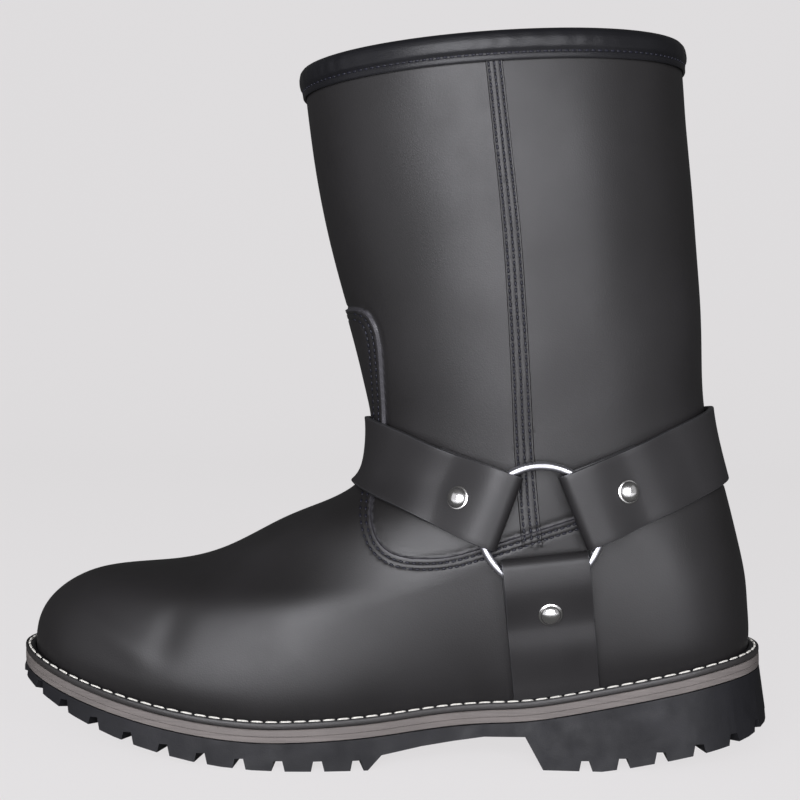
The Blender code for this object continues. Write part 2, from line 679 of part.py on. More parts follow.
def make_side_strap(name, side, collection, leather):
    across, half = np.linspace(-1, 1, 5), SIDE_STRAP_WIDTH / 2
    rows = strap_end(side, SIDE_STRAP_ANGLE, half, across)
    ahead = np.array([math.cos(math.radians(SIDE_STRAP_ANGLE)), math.sin(math.radians(SIDE_STRAP_ANGLE))])
    wide = np.array([-ahead[1], ahead[0]])
    ends = np.zeros(len(across))
    for i, b in enumerate(across):
        line = np.array(RING_CENTRE) + np.linspace(40, 90, 501)[:, None] * ahead + b * half * wide
        clear = line[:, 1] > feather_z(line[:, 0]) + WELT_THICK + SIDE_STRAP_RISE
        ends[i] = 40 + 50 * clear.mean()
    low = UNDER_LAYER
    for share in (0.5, 1.0):
        along = LAY_DOWN + (ends - LAY_DOWN) * share
        rows.append(strap_lay(side, SIDE_STRAP_ANGLE, half, along, across, np.full(len(across), low)))
    return new_strap(name, np.array(rows), collection, leather)


def make_ring(name, side, collection, steel):
    centre, forward, up, out = ring_frame(side)
    bpy.ops.mesh.primitive_torus_add(
        major_radius=RING_RADIUS * MM, minor_radius=WIRE_RADIUS * MM, major_segments=36, minor_segments=8
    )
    ring = bpy.context.object
    ring.name = name
    ring.data.name = name
    stand(ring, centre, out)
    ring.data.materials.append(steel)
    ring.data.shade_smooth()
    for holder in list(ring.users_collection):
        holder.objects.unlink(ring)
    collection.objects.link(ring)
    return ring


def make_rivet(name, side, angle, place, collection, steel):
    """A low dome that sits on the outer layer of a strap."""
    reach = RIVET_RADIUS * 0.8
    along = place[0] + np.array([0, reach, -reach, 0, 0])
    sideways = place[1] + np.array([0, 0, 0, reach, -reach])
    spots = strap_layer(side, angle, along, sideways, LAYER_APART, OVER_LAYER)
    out = np.cross(spots[1] - spots[2], spots[3] - spots[4])
    out = out / np.linalg.norm(out)
    out = out * np.sign(out[1] * side)
    turns = np.linspace(0, 2 * math.pi, 17)[:-1]
    along, sideways = place[0] + RIVET_RADIUS * np.cos(turns), place[1] + RIVET_RADIUS * np.sin(turns)
    rim = strap_layer(side, angle, along, sideways, LAYER_APART, OVER_LAYER)
    rise = max(0.0, float(((rim - spots[0]) @ out).max()))
    foot = spots[0] + out * (rise + STRAP_THICK / 2 + GAP)
    profile = np.array([(0.0, 1.0), (0.36, 0.95), (0.68, 0.8), (0.9, 0.5), (1.0, 0.16), (1.0, 0.0), (0.0, 0.0)])
    mesh = bpy.data.meshes.new(name)
    points = [(r * RIVET_RADIUS * MM, 0, h * RIVET_HEIGHT * MM) for r, h in profile]
    mesh.from_pydata(points, [(i, i + 1) for i in range(len(points) - 1)], [])
    mesh.materials.append(steel)
    rivet = bpy.data.objects.new(name, mesh)
    collection.objects.link(rivet)
    modifier = rivet.modifiers.new("turn", "SCREW")
    modifier.steps = modifier.render_steps = 16
    modifier.use_merge_vertices = True
    modifier.merge_threshold = 0.00001
    modifier.use_smooth_shade = True
    stand(rivet, foot, out)
    return rivet


def make_harness(collection, leather, steel):
    angles = {"front": FRONT_STRAP_ANGLE, "back": BACK_STRAP_ANGLE, "side": SIDE_STRAP_ANGLE}
    make_wrapped_strap("strap_front", FRONT_STRAP_ANGLE, collection, leather)
    make_wrapped_strap("strap_back", BACK_STRAP_ANGLE, collection, leather)
    for side, word in ((OUTER, "outer"), (INNER, "inner")):
        make_side_strap(f"strap_side_{word}", side, collection, leather)
        make_ring(f"ring_{word}", side, collection, steel)
        for strap, angle in angles.items():
            make_rivet(f"rivet_{strap}_{word}", side, angle, RIVET_AT[strap], collection, steel)


def centre_on_origin(collection):
    """Moves every object so that the middle of the boot's underside is the origin."""
    bpy.context.view_layer.update()
    graph = bpy.context.evaluated_depsgraph_get()
    corners = []
    for obj in collection.objects:
        mesh = obj.evaluated_get(graph).to_mesh()
        points = np.empty(len(mesh.vertices) * 3)
        mesh.vertices.foreach_get("co", points)
        turn = np.array(obj.matrix_world)
        points = points.reshape(-1, 3) @ turn[:3, :3].T + turn[:3, 3]
        corners += [points.min(axis=0), points.max(axis=0)]
    low, high = np.min(corners, axis=0), np.max(corners, axis=0)
    shift = Vector((-(low[0] + high[0]) / 2, -(low[1] + high[1]) / 2, -low[2]))
    for obj in bpy.data.objects:
        obj.location += shift


def main():
    for obj in list(bpy.data.objects):
        bpy.data.objects.remove(obj)
    boot = bpy.data.collections.new("harness_boot")
    cutters = bpy.data.collections.new("cutters")
    for collection in (boot, cutters):
        bpy.context.scene.collection.children.link(collection)
    cutters.hide_render = True
    leather = new_material("upper_leather", (0.022, 0.022, 0.024), 0.42)
    binding = new_material("binding_leather", (0.014, 0.014, 0.017), 0.25)
    strap = new_material("strap_leather", (0.024, 0.023, 0.025), 0.45)
    welt = new_material("welt_leather", (0.018, 0.018, 0.019), 0.5)
    brown = new_material("midsole_edge", (0.20, 0.165, 0.15), 0.6)
    rubber = new_material("sole_rubber", (0.02, 0.02, 0.023), 0.6)
    steel = new_material("ring_steel", (0.8, 0.8, 0.82), 0.12, 1.0)
    make_upper(boot, leather)
    make_binding(boot, binding)
    make_sole(boot, rubber, brown, welt)
    make_harness(boot, strap, steel)
    centre_on_origin(boot)


main()
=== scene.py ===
"""Harness boot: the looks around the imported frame, and a studio stage.

Sizes are in millimetres until a mesh is made. Along the foot, x runs forward from the back of the heel, y is
negative on the outer side, and z is up. place() carries such points into the frame.
"""

import math

import bmesh
import bpy
import numpy as np
from mathutils import Matrix, Vector


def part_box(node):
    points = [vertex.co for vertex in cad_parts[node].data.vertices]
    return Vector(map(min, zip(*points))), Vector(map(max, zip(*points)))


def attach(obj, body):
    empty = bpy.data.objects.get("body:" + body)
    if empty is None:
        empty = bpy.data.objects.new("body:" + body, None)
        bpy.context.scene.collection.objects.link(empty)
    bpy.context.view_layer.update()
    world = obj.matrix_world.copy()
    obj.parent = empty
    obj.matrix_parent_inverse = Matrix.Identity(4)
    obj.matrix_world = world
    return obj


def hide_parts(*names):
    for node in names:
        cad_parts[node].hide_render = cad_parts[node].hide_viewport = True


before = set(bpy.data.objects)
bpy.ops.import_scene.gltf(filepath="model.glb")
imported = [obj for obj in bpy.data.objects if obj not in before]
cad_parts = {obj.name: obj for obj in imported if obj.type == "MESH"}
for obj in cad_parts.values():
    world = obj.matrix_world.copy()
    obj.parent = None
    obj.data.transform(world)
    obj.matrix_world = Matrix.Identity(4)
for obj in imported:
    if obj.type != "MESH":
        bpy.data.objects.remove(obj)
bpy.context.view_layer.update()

bl_info = {
    "name": "Harness boot",
    "version": (1, 0, 0),
    "blender": (4, 5, 0),
    "location": "3D View > Sidebar > Boot",
    "description": "Builds the boot's leather, stitching, sole and steel around its frame",
    "category": "Object",
}

MM = 0.001
GAP, STRAP_GAP = 0.3, 0.6
SOLE_LENGTH, WALL, STEP, SEAM_RAISE = 320.0, 2.2, 1.2, 0.7
STRAP_THICK, STRAP_WIDTH, SIDE_STRAP_WIDTH = 2.2, 31.2, 34.6
RING_RADIUS, WIRE_RADIUS, RIVET_RADIUS, RIVET_HEIGHT = 24.0, 1.7, 4.8, 3.0
RING_SPAN, RING_CLEARANCE = 20.0, 0.4
WELT_REACH, WELT_THICK, MIDSOLE_THICK, INSOLE_THICK = 6.0, 2.6, 5.2, 3.5
HEEL_X, WAIST_X, BALL_X = 45.0, 115.0, 205.0
RING_COLUMNS = (
    "front_x", "front_z", "back_x", "back_z", "dip",
    "heel", "waist_out", "waist_in", "ball_out", "ball_in",
    "round_back", "round_front", "power_front",
)
RINGS = np.array(
    [
        (311.8, 43.0, 8.3, 38.8, 1.00, 31.0, 31.0, 27.5, 45.5, 46.5, 34, 106, 2.25),
        (311.6, 52.5, 7.6, 48.0, 0.93, 34.2, 34.5, 31.5, 48.8, 49.5, 38, 108, 2.20),
        (305.6, 66.2, 8.0, 58.0, 0.78, 35.5, 37.0, 35.0, 48.6, 49.2, 40, 114, 2.12),
        (286.2, 79.6, 8.6, 68.0, 0.58, 35.8, 38.5, 37.2, 46.2, 46.8, 42, 118, 2.05),
        (258.0, 83.2, 10.2, 78.0, 0.40, 35.6, 39.2, 38.4, 44.2, 44.6, 44, 124, 2.00),
        (230.1, 87.2, 12.8, 90.0, 0.24, 35.2, 39.8, 39.2, 43.0, 43.2, 48, 124, 2.00),
        (205.0, 96.6, 15.6, 102.0, 0.12, 35.2, 40.2, 39.8, 42.0, 42.0, 53, 118, 2.00),
        (184.6, 102.6, 18.6, 114.0, 0.04, 36.2, 40.6, 40.4, 41.2, 41.2, 58, 106, 2.00),
        (169.8, 110.5, 21.4, 126.0, 0.00, 37.8, 41.0, 41.0, 41.2, 41.2, 63, 92, 2.00),
        (164.7, 123.0, 23.4, 138.0, 0.00, 39.6, 41.6, 41.6, 41.6, 41.6, 67, 80, 2.00),
        (164.0, 138.0, 24.2, 150.0, 0.00, 41.6, 42.6, 42.6, 42.6, 42.6, 70, 73, 2.00),
        (167.0, 154.0, 24.4, 164.0, 0.00, 43.8, 44.0, 44.0, 44.0, 44.0, 72, 72, 2.00),
        (174.0, 184.0, 25.0, 188.0, 0.00, 46.8, 46.8, 46.8, 46.8, 46.8, 75, 75, 2.00),
        (182.8, 220.0, 27.2, 222.0, 0.00, 50.0, 50.0, 50.0, 50.0, 50.0, 78, 78, 2.00),
        (188.2, 254.0, 29.6, 257.0, 0.00, 52.2, 52.2, 52.2, 52.2, 52.2, 79, 79, 2.00),
        (191.2, 284.0, 31.6, 290.0, 0.00, 53.4, 53.4, 53.4, 53.4, 53.4, 80, 80, 2.00),
    ]
)
POWER_BACK = 2.05
SWING_START, SWING_AT_TOE = 110.0, 7.0
RUBBER_TOP = np.array(
    [
        (0, 31.8), (26, 28.8), (46, 24.8), (66, 21.0), (85, 17.7), (103, 15.4), (118, 14.9), (135, 14.2),
        (162, 12.0), (200, 11.0),
    ]
)
SPRING_START, SPRING_RISE, SPRING_POWER = 204.0, 26.0, 1.7
PITCH, PIVOT_X = math.radians(2.0), 190.0
VAMP_EDGE = [
    (200, 185.2), (171.5, 184.6), (165.1, 182.6), (161.2, 177.0), (159.5, 169.0), (158.7, 154.5),
    (158.3, 143.0), (158.6, 132.0), (160.2, 120.0), (163.0, 109.0), (164.3, 101.0), (163.4, 94.3),
    (161.3, 89.4), (157.6, 85.6), (151.6, 83.2), (141.5, 82.4), (131.5, 83.3), (124.0, 85.2),
    (113.3, 88.2), (102.6, 91.5), (94.8, 93.9), (81.7, 97.8), (60.0, 104.0), (40.0, 108.5), (-20.0, 113.0),
]
SIDE_SEAM = [
    (112.6, 284), (111.6, 274), (109, 246), (106.2, 215), (104.4, 185), (103, 153), (101.8, 121), (99.4, 86),
]
SEAM_WIDTH, SEAM_ROWS = 8.0, (-0.68, 0.0, 0.68)
RING_CENTRE = (96.4, 95.6)
STRAP_ANGLES = {"front": 21.5, "back": 159.0, "side": -95.0}
RIVET_AT = {"front": (33.0, -1.5), "back": (36.0, 0.0), "side": (34.5, 0.0)}
FOLD_CLEARANCE, SIDE_STRAP_RISE = 0.4, 2.2
LAYERS_PART, LAYERS_MEET, TAIL_END, LAY_DOWN = 21.0, 41.0, 46.0, 64.0
OUTER, INNER = -1, 1
LAYER_APART = WIRE_RADIUS + GAP + STRAP_THICK / 2
UNDER_LAYER = STEP + STRAP_GAP + STRAP_THICK / 2
OVER_LAYER = UNDER_LAYER + STRAP_THICK + GAP
BINDING = [
    (0.3, 0.3), (0.3, -9.8), (1.0, -9.9), (1.25, -9.4), (1.35, -7.9), (1.0, -7.1), (1.35, -6.5), (2.0, -5.4),
    (2.2, -3.6), (2.1, -1.6), (1.5, 0.4), (0.4, 1.7), (-1.1, 2.2), (-2.4, 1.8), (-3.4, 0.7), (-4.0, -1.0),
    (-4.05, -3.0), (-3.8, -6.0), (-3.6, -9.8), (-2.5, -9.8), (-2.5, 0.3),
]

# The camera that was fitted to the photograph: degrees, metres, and the focal length in the picture's pixels
CAMERA_YAW, CAMERA_PITCH, CAMERA_ROLL = -2.080, 1.411, 0.931
CAMERA_AT = (0.02314, -0.57994, 0.16091)
FOCAL_PIXELS, PICTURE_PIXELS, SENSOR_WIDTH = 1352.0, 800.0, 36.0


# The last's own functions


def spline(xs, ys, x):
    """Natural cubic spline through the table's points: the second slope is zero at both ends."""
    xs, ys = np.asarray(xs, float), np.asarray(ys, float)
    step, count = np.diff(xs), len(xs)
    matrix = np.eye(count)
    inner = np.arange(1, count - 1)
    matrix[inner, inner - 1] = step[:-1]
    matrix[inner, inner] = 2 * (step[:-1] + step[1:])
    matrix[inner, inner + 1] = step[1:]
    slope = np.diff(ys, axis=0) / step.reshape((-1,) + (1,) * (ys.ndim - 1))
    right = np.zeros_like(ys)
    right[1:-1] = 6 * np.diff(slope, axis=0)
    bend = np.linalg.solve(matrix, right.reshape(count, -1)).reshape(ys.shape)
    x = np.asarray(x, float)
    i = np.clip(np.searchsorted(xs, x, side="right") - 1, 0, count - 2)
    shape = x.shape + (1,) * (ys.ndim - 1)
    h, a, b = step[i].reshape(shape), (xs[i + 1] - x).reshape(shape), (x - xs[i]).reshape(shape)
    return (
        (bend[i] * a**3 + bend[i + 1] * b**3) / (6 * h)
        + (ys[i] / h - bend[i] * h / 6) * a
        + (ys[i + 1] / h - bend[i + 1] * h / 6) * b
    )


def unit(vectors):
    """The same directions with length 1: each is divided by the root of the sum of its squares."""
    return vectors / np.linalg.norm(vectors, axis=-1, keepdims=True)


def run_length(line):
    """The distance run along a line at each of its points: the sum of the straight pieces before it."""
    return np.concatenate([[0], np.cumsum(np.linalg.norm(np.diff(line, axis=0), axis=1))])


def ease(t):
    """0 below t = 0 and 1 above t = 1, and between them the cubic 3 t squared less 2 t cubed."""
    t = np.clip(t, 0, 1)
    return t * t * (3 - 2 * t)


def bump(t):
    """1 at t = 0, falling smoothly to 0 at t = -1 and 1."""
    return ease(1 - np.abs(t))


def cap(distance, length, power):
    """A rounded end: a superellipse's rise from 0 at the end to 1 at length from it."""
    t = np.clip(distance / length, 0, 1)
    return np.maximum(1 - (1 - t) ** power, 0) ** (1 / power)


def swing(x):
    """How far the foot's middle line lies inwards: it grows with the square of the way to the toe."""
    return SWING_AT_TOE * (np.maximum(x - SWING_START, 0) / (SOLE_LENGTH - SWING_START)) ** 2


def rubber_top_z(x):
    """Top of the rubber: a spline through RUBBER_TOP, plus the toe spring, a power of the way to the toe."""
    held = np.clip(x, RUBBER_TOP[0, 0], RUBBER_TOP[-1, 0])
    spring = SPRING_RISE * (np.maximum(x - SPRING_START, 0) / (SOLE_LENGTH - SPRING_START)) ** SPRING_POWER
    return spline(RUBBER_TOP[:, 0], RUBBER_TOP[:, 1], held) + spring


def feather_z(x):
    """Where the upper meets the sole: the rubber's top, the midsole and the gap on each side of it."""
    return rubber_top_z(x) + MIDSOLE_THICK + 2 * GAP


def ring_values(v):
    """Each column of RINGS at height v, from 0 at the feather line to 1 at the collar, on a spline."""
    index = np.linspace(0, 1, len(RINGS))
    table = spline(index, RINGS, v)
    return {name: table[..., i] for i, name in enumerate(RING_COLUMNS)}


def sole_chord(x):
    """The straight line between the back and front of the lowest ring, at x."""
    return np.interp(x, RINGS[0, [2, 0]], RINGS[0, [3, 1]])


def surface(v, a):
    """The last's face: x runs from back to front as the cosine of a, and y is the half-width at x, which is
    eased between heel, waist and ball and capped at both ends."""
    v, a = np.broadcast_arrays(np.asarray(v, float), np.asarray(a, float))
    ring = ring_values(v)
    share = (1 - np.cos(a)) / 2
    length = ring["front_x"] - ring["back_x"]
    x = ring["back_x"] + length * share
    dip = ring["dip"] * (feather_z(x) - sole_chord(x))
    z = ring["back_z"] + (ring["front_z"] - ring["back_z"]) * share + dip
    outside = np.sin(a) > 0
    waist = np.where(outside, ring["waist_out"], ring["waist_in"])
    ball = np.where(outside, ring["ball_out"], ring["ball_in"])
    half = ring["heel"] + (waist - ring["heel"]) * ease((x - HEEL_X) / (WAIST_X - HEEL_X))
    half = half + (ball - waist) * ease((x - WAIST_X) / (BALL_X - WAIST_X))
    half = half * cap(length * share, ring["round_back"], POWER_BACK)
    half = half * cap(length * (1 - share), ring["round_front"], ring["power_front"])
    return np.stack([x, swing(x) + np.where(outside, -half, half), z], axis=-1)


def surface_normal(v, a):
    """The last's outward normal: the cross product of two small steps, round the ring and up the boot."""
    dv, da = 2e-3, 2e-3
    low, high = np.clip(v - dv, 0, 1), np.clip(v + dv, 0, 1)
    up = surface(high, a) - surface(low, a)
    round_it = surface(v, a + da) - surface(v, a - da)
    normal = np.cross(round_it, up)
    return unit(normal)


def raised(v, a, out):
    """A point of the last moved along its normal by out."""
    v, a = np.broadcast_arrays(np.asarray(v, float), np.asarray(a, float))
    out = np.broadcast_to(np.asarray(out, float), v.shape)
    return surface(v, a) + surface_normal(v, a) * out[..., None]


def place_in_side_view(x, z, side):
    """(v, a) of the point of the outer or inner side that the side view shows at x, z."""
    x, z = np.broadcast_arrays(np.asarray(x, float), np.asarray(z, float))
    v = np.linspace(0, 1, 401)
    ring = ring_values(v)
    share = (x[..., None] - ring["back_x"]) / (ring["front_x"] - ring["back_x"])
    dip = ring["dip"] * (feather_z(x) - sole_chord(x))[..., None]
    above = ring["back_z"] + (ring["front_z"] - ring["back_z"]) * share + dip - z[..., None]
    i = np.clip((above < 0).sum(axis=-1) - 1, 0, len(v) - 2)[..., None]
    low = np.take_along_axis(above, i, -1)[..., 0]
    high = np.take_along_axis(above, i + 1, -1)[..., 0]
    part = np.clip(-low / (high - low), 0, 1)
    found = v[i[..., 0]] + part * (v[1] - v[0])
    at = ring_values(found)
    share = np.clip((x - at["back_x"]) / (at["front_x"] - at["back_x"]), 0, 1)
    a = np.arccos(1 - 2 * share)
    return found, a if side == OUTER else 2 * math.pi - a


def sole_edge(a, grow):
    """The feather line in plan, moved outwards by grow along its own normal."""
    step = 1e-3
    here, ahead, behind = (surface(0.0, a + d)[..., :2] for d in (0, step, -step))
    along = ahead - behind
    along = unit(along)
    normal = np.stack([along[..., 1], -along[..., 0]], axis=-1)
    normal = normal * np.sign(((here - [150.0, 0.0]) * normal).sum(-1, keepdims=True))
    return here + normal * np.broadcast_to(np.asarray(grow, float), a.shape)[..., None]


# Meshes


def turned(points):
    """Along-the-foot millimetres, tipped forward by the pitch, in metres with the toe towards -X."""
    x, y, z = (np.asarray(points, float).reshape(-1, 3) - [PIVOT_X, 0, 0]).T
    x, z = x * math.cos(PITCH) + z * math.sin(PITCH), z * math.cos(PITCH) - x * math.sin(PITCH)
    return np.stack([SOLE_LENGTH / 2 - PIVOT_X - x, y, z], axis=1) * MM


def find_shift():
    """How far the frame was moved to stand on its origin, found from the midsole's own box."""
    a = np.arange(40) * math.pi / 20
    edge = sole_edge(a, WELT_REACH)
    low = np.column_stack([edge, rubber_top_z(edge[:, 0]) + GAP])
    high = low + [0, 0, MIDSOLE_THICK]
    made = turned(np.concatenate([low, high]))
    return np.array(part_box("midsole")[0]) - made.min(axis=0)


SHIFT = find_shift()


def place(points):
    """Along-the-foot millimetres to the frame's metres: turned, then shifted as the frame was."""
    return turned(points) + SHIFT


def grid_quads(rows, columns, wrap_rows=False, wrap_columns=False):
    """Quads of a grid stored row by row, as one whole array."""
    i = np.arange(rows if wrap_rows else rows - 1)[:, None]
    j = np.arange(columns if wrap_columns else columns - 1)[None, :]
    below, above = i * columns, (i + 1) % rows * columns
    k = (j + 1) % columns
    return np.stack([below + j, below + k, above + k, above + j], axis=-1).reshape(-1, 4)


def make_mesh(name, points, faces, finish, smooth=40.0, placed=False, levels=None):
    """A mesh piece from points along the foot, its faces turned outwards and its creases kept sharp."""
    mesh = bpy.data.meshes.new(name)
    where = np.asarray(points, float).reshape(-1, 3) if placed else place(points)
    faces = np.asarray(faces)
    mesh.vertices.add(len(where))
    mesh.vertices.foreach_set("co", where.astype(np.float32).ravel())
    size = faces.shape[1]
    mesh.loops.add(faces.size)
    mesh.loops.foreach_set("vertex_index", faces.astype(np.int32).ravel())
    mesh.polygons.add(len(faces))
    mesh.polygons.foreach_set("loop_start", np.arange(0, faces.size, size, dtype=np.int32))
    mesh.polygons.foreach_set("use_smooth", np.ones(len(faces), bool))
    mesh.update(calc_edges=True)
    mesh.validate()
    for key, values in (levels or {}).items():
        kept = mesh.attributes.new(key, "FLOAT", "POINT")
        kept.data.foreach_set("value", np.asarray(values, np.float32).ravel())
    turn_outward(mesh)
    if smooth:
        mesh.set_sharp_from_angle(angle=math.radians(smooth))
    piece = bpy.data.objects.new(name, mesh)
    bpy.context.scene.collection.objects.link(piece)
    mesh.materials.append(finish)
    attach(piece, "root")
    return piece


def turn_outward(mesh):
    """Merges doubles and turns each closed shell's faces outwards."""
    work = bmesh.new()
    work.from_mesh(mesh)
    bmesh.ops.remove_doubles(work, verts=work.verts, dist=1e-7)
    bmesh.ops.recalc_face_normals(work, faces=work.faces)
    work.to_mesh(mesh)
    work.free()


def split_along(points, faces, values, level):
    """Cuts every triangle that crosses values = level, so that an edge of the mesh follows that line exactly.

    There is a row for each point and a value for each row. New points are interpolated linearly."""
    side = values > level
    mixed = (side[faces].sum(axis=1) % 3) != 0
    whole, cut = faces[~mixed], faces[mixed]
    if not len(cut):
        return points, faces
    odd_is = np.where(side[cut].sum(axis=1)[:, None] == 1, side[cut], ~side[cut])
    first = odd_is.argmax(axis=1)
    turn = (first[:, None] + np.arange(3)[None, :]) % 3
    cut = np.take_along_axis(cut, turn, axis=1)
    ends = np.concatenate([cut[:, [0, 1]], cut[:, [0, 2]]])
    ordered = np.sort(ends, axis=1)
    edges, back = np.unique(ordered, axis=0, return_inverse=True)
    back = back.reshape(-1)
    low, high = values[edges[:, 0]], values[edges[:, 1]]
    part = np.clip((level - low) / (high - low), 0.002, 0.998)[:, None]
    fresh = points[edges[:, 0]] * (1 - part) + points[edges[:, 1]] * part
    near, far = len(points) + back[: len(cut)], len(points) + back[len(cut):]
    tip = np.stack([cut[:, 0], near, far], axis=1)
    base_one = np.stack([near, cut[:, 1], cut[:, 2]], axis=1)
    base_two = np.stack([near, cut[:, 2], far], axis=1)
    return np.concatenate([points, fresh]), np.concatenate([whole, tip, base_one, base_two])


def line_distance(x, z, line):
    """Signed distance to a side-view line: positive to its left as it runs."""
    line = np.asarray(line, float)
    start, run = line[:-1], np.diff(line, axis=0)
    spots = np.stack([x, z], axis=-1)[:, None, :]
    share = np.clip(((spots - start) * run).sum(-1) / (run**2).sum(-1), 0, 1)
    away = spots - (start + share[..., None] * run)
    gap = np.linalg.norm(away, axis=-1)
    pick = gap.argmin(axis=1)
    chosen = run[pick]
    own = away[np.arange(len(pick)), pick]
    sign = np.sign(chosen[:, 0] * own[:, 1] - chosen[:, 1] * own[:, 0])
    return gap.min(axis=1) * np.where(sign == 0, 1, sign)


def even_line(line, step):
    """The same side-view line as a smooth curve with a point every step millimetres."""
    line = np.asarray(line, float)
    length = run_length(line)
    fine = spline(length, line, np.linspace(0, length[-1], 1200))
    run = run_length(fine)
    at = np.linspace(0, run[-1], max(int(run[-1] / step), 2))
    return np.stack([np.interp(at, run, fine[:, 0]), np.interp(at, run, fine[:, 1])], axis=-1)


def tube_grid(sections):
    """Closes a stack of closed sections (rows, columns, 3) with quads folded onto each end's middle."""
    sections = np.asarray(sections, float)
    first, last = sections[0].mean(axis=0), sections[-1].mean(axis=0)
    columns = sections.shape[1]
    capped = np.concatenate(
        [np.broadcast_to(first, (1, columns, 3)), sections, np.broadcast_to(last, (1, columns, 3))]
    )
    return capped.reshape(-1, 3), grid_quads(len(capped), columns, wrap_columns=True)


# Finishes


class Nodes:
    """A material's nodes, added and joined by short calls."""

    def __init__(self, name, roughness, metallic=0.0, specular=0.5, coat=0.0, coat_roughness=0.3):
        self.material = bpy.data.materials.new(name)
        self.material.use_nodes = True
        self.tree = self.material.node_tree
        self.shader = self.tree.nodes["Principled BSDF"]
        for socket, value in (
            ("Roughness", roughness), ("Metallic", metallic), ("Specular IOR Level", specular),
            ("Coat Weight", coat), ("Coat Roughness", coat_roughness),
        ):
            self.shader.inputs[socket].default_value = value
        self.where = self.add("ShaderNodeTexCoord").outputs["Object"]

    def add(self, kind, values=(), **settings):
        """A node of one kind, its inputs linked to sockets or set to values."""
        node = self.tree.nodes.new(kind)
        for key, value in settings.items():
            setattr(node, key, value)
        for key, value in dict(values).items():
            if isinstance(value, bpy.types.NodeSocket):
                self.tree.links.new(value, node.inputs[key])
            else:
                node.inputs[key].default_value = value
        return node

    def noise(self, scale, detail=3.0, rough=0.5, stretch=None):
        """Soft noise on object coordinates, which stretch scales along each axis."""
        where = self.where
        if stretch:
            where = self.add("ShaderNodeMapping", {"Vector": where, "Scale": stretch}).outputs["Vector"]
        values = {"Vector": where, "Scale": scale, "Detail": detail, "Roughness": rough}
        return self.add("ShaderNodeTexNoise", values).outputs["Fac"]

    def cells(self, scale):
        """The distance to the edges of small cells."""
        values = {"Vector": self.where, "Scale": scale}
        return self.add("ShaderNodeTexVoronoi", values, feature="DISTANCE_TO_EDGE").outputs["Distance"]

    def span(self, value, low, high, to_low, to_high):
        """The value carried from one range to another and held within it."""
        values = {"Value": value, "From Min": low, "From Max": high, "To Min": to_low, "To Max": to_high}
        return self.add("ShaderNodeMapRange", values).outputs["Result"]

    def sum(self, one, other, operation="ADD"):
        """Two values added, or joined by another operation."""
        node = self.add("ShaderNodeMath", operation=operation)
        for i, value in enumerate((one, other)):
            if isinstance(value, bpy.types.NodeSocket):
                self.tree.links.new(value, node.inputs[i])
            else:
                node.inputs[i].default_value = value
        return node.outputs[0]

    def mix(self, share, one, other):
        """One colour at share 0, the other at share 1."""
        node = self.add("ShaderNodeMix", data_type="RGBA")
        for i, value in ((0, share), (6, one), (7, other)):
            if isinstance(value, bpy.types.NodeSocket):
                self.tree.links.new(value, node.inputs[i])
            else:
                node.inputs[i].default_value = (*value, 1) if i else value
        return node.outputs[2]

    def attribute(self, name):
        """A value that the mesh holds at each point."""
        return self.add("ShaderNodeAttribute", attribute_name=name).outputs["Fac"]

    def finish(self, colour, roughness=None, height=None, strength=0.3, distance=0.0003):
        """Joins colour, roughness and a bump from height to the shader, and gives back the material."""
        self.tree.links.new(colour, self.shader.inputs["Base Color"])
        if roughness is not None:
            self.tree.links.new(roughness, self.shader.inputs["Roughness"])
        if height is not None:
            values = {"Strength": strength, "Distance": distance, "Height": height}
            normal = self.add("ShaderNodeBump", values).outputs["Normal"]
            self.tree.links.new(normal, self.shader.inputs["Normal"])
        return self.material


def leather(name, dark, light, edge, low_rough, high_rough, grain=0.25, coat=0.0, specular=0.4):
    """Smooth full-grain leather: fine pores, a soft pebble, cloudy colour, paler cut edges and painted shade.
    """
    n = Nodes(name, low_rough, specular=specular, coat=coat, coat_roughness=0.35)
    cloud = n.span(n.noise(14, 4), 0.3, 0.7, 0, 1)
    streak = n.span(n.noise(60, 3, stretch=(1, 1, 0.25)), 0.35, 0.65, 0, 1)
    colour = n.mix(cloud, dark, light)
    colour = n.mix(n.span(streak, 0, 1, 0, 0.3), colour, dark)
    colour = n.mix(n.attribute("cut_edge"), colour, edge)
    # Painted shade: a level that the mesh holds darkens the colour towards near black in stitch channels and
    # other recesses.
    colour = n.mix(n.attribute("painted_shade"), colour, (0.003, 0.003, 0.004))
    cloudy_rough = n.span(n.noise(30, 4), 0.3, 0.7, low_rough, high_rough)
    rough = n.sum(cloudy_rough, n.span(n.cells(1600), 0, 0.3, 0.05, 0))
    pebble = n.span(n.cells(900), 0, 0.25, 0, 1)
    pores = n.noise(2600, 2)
    height = n.sum(n.sum(pebble, 0.5, "MULTIPLY"), pores)
    return n.finish(colour, rough, height, grain, 0.00012)


def rubber(name, dark, light):
    """Moulded rubber: matt, a fine even texture, with dust that has stayed in its grain."""
    n = Nodes(name, 0.6, specular=0.28)
    dust = n.span(n.noise(45, 5, 0.6), 0.45, 0.75, 0, 1)
    colour = n.mix(dust, dark, light)
    rough = n.span(n.noise(120, 4), 0.3, 0.7, 0.5, 0.68)
    return n.finish(colour, rough, n.sum(n.noise(1800, 2), n.noise(260, 3)), 0.35, 0.00015)


def edge_board(name, dark, light):
    """The midsole's sanded edge: fine layers along its length, rubbed darker in patches."""
    n = Nodes(name, 0.62, specular=0.3)
    layers = n.noise(90, 4, 0.6, stretch=(0.12, 0.12, 14))
    patch = n.span(n.noise(55, 4), 0.35, 0.7, 0, 1)
    colour = n.mix(n.span(layers, 0.25, 0.8, 0, 1), dark, light)
    colour = n.mix(n.span(patch, 0, 1, 0, 0.55), colour, dark)
    rough = n.span(layers, 0.3, 0.7, 0.55, 0.75)
    return n.finish(colour, rough, n.sum(layers, n.noise(1500, 2)), 0.4, 0.0002)


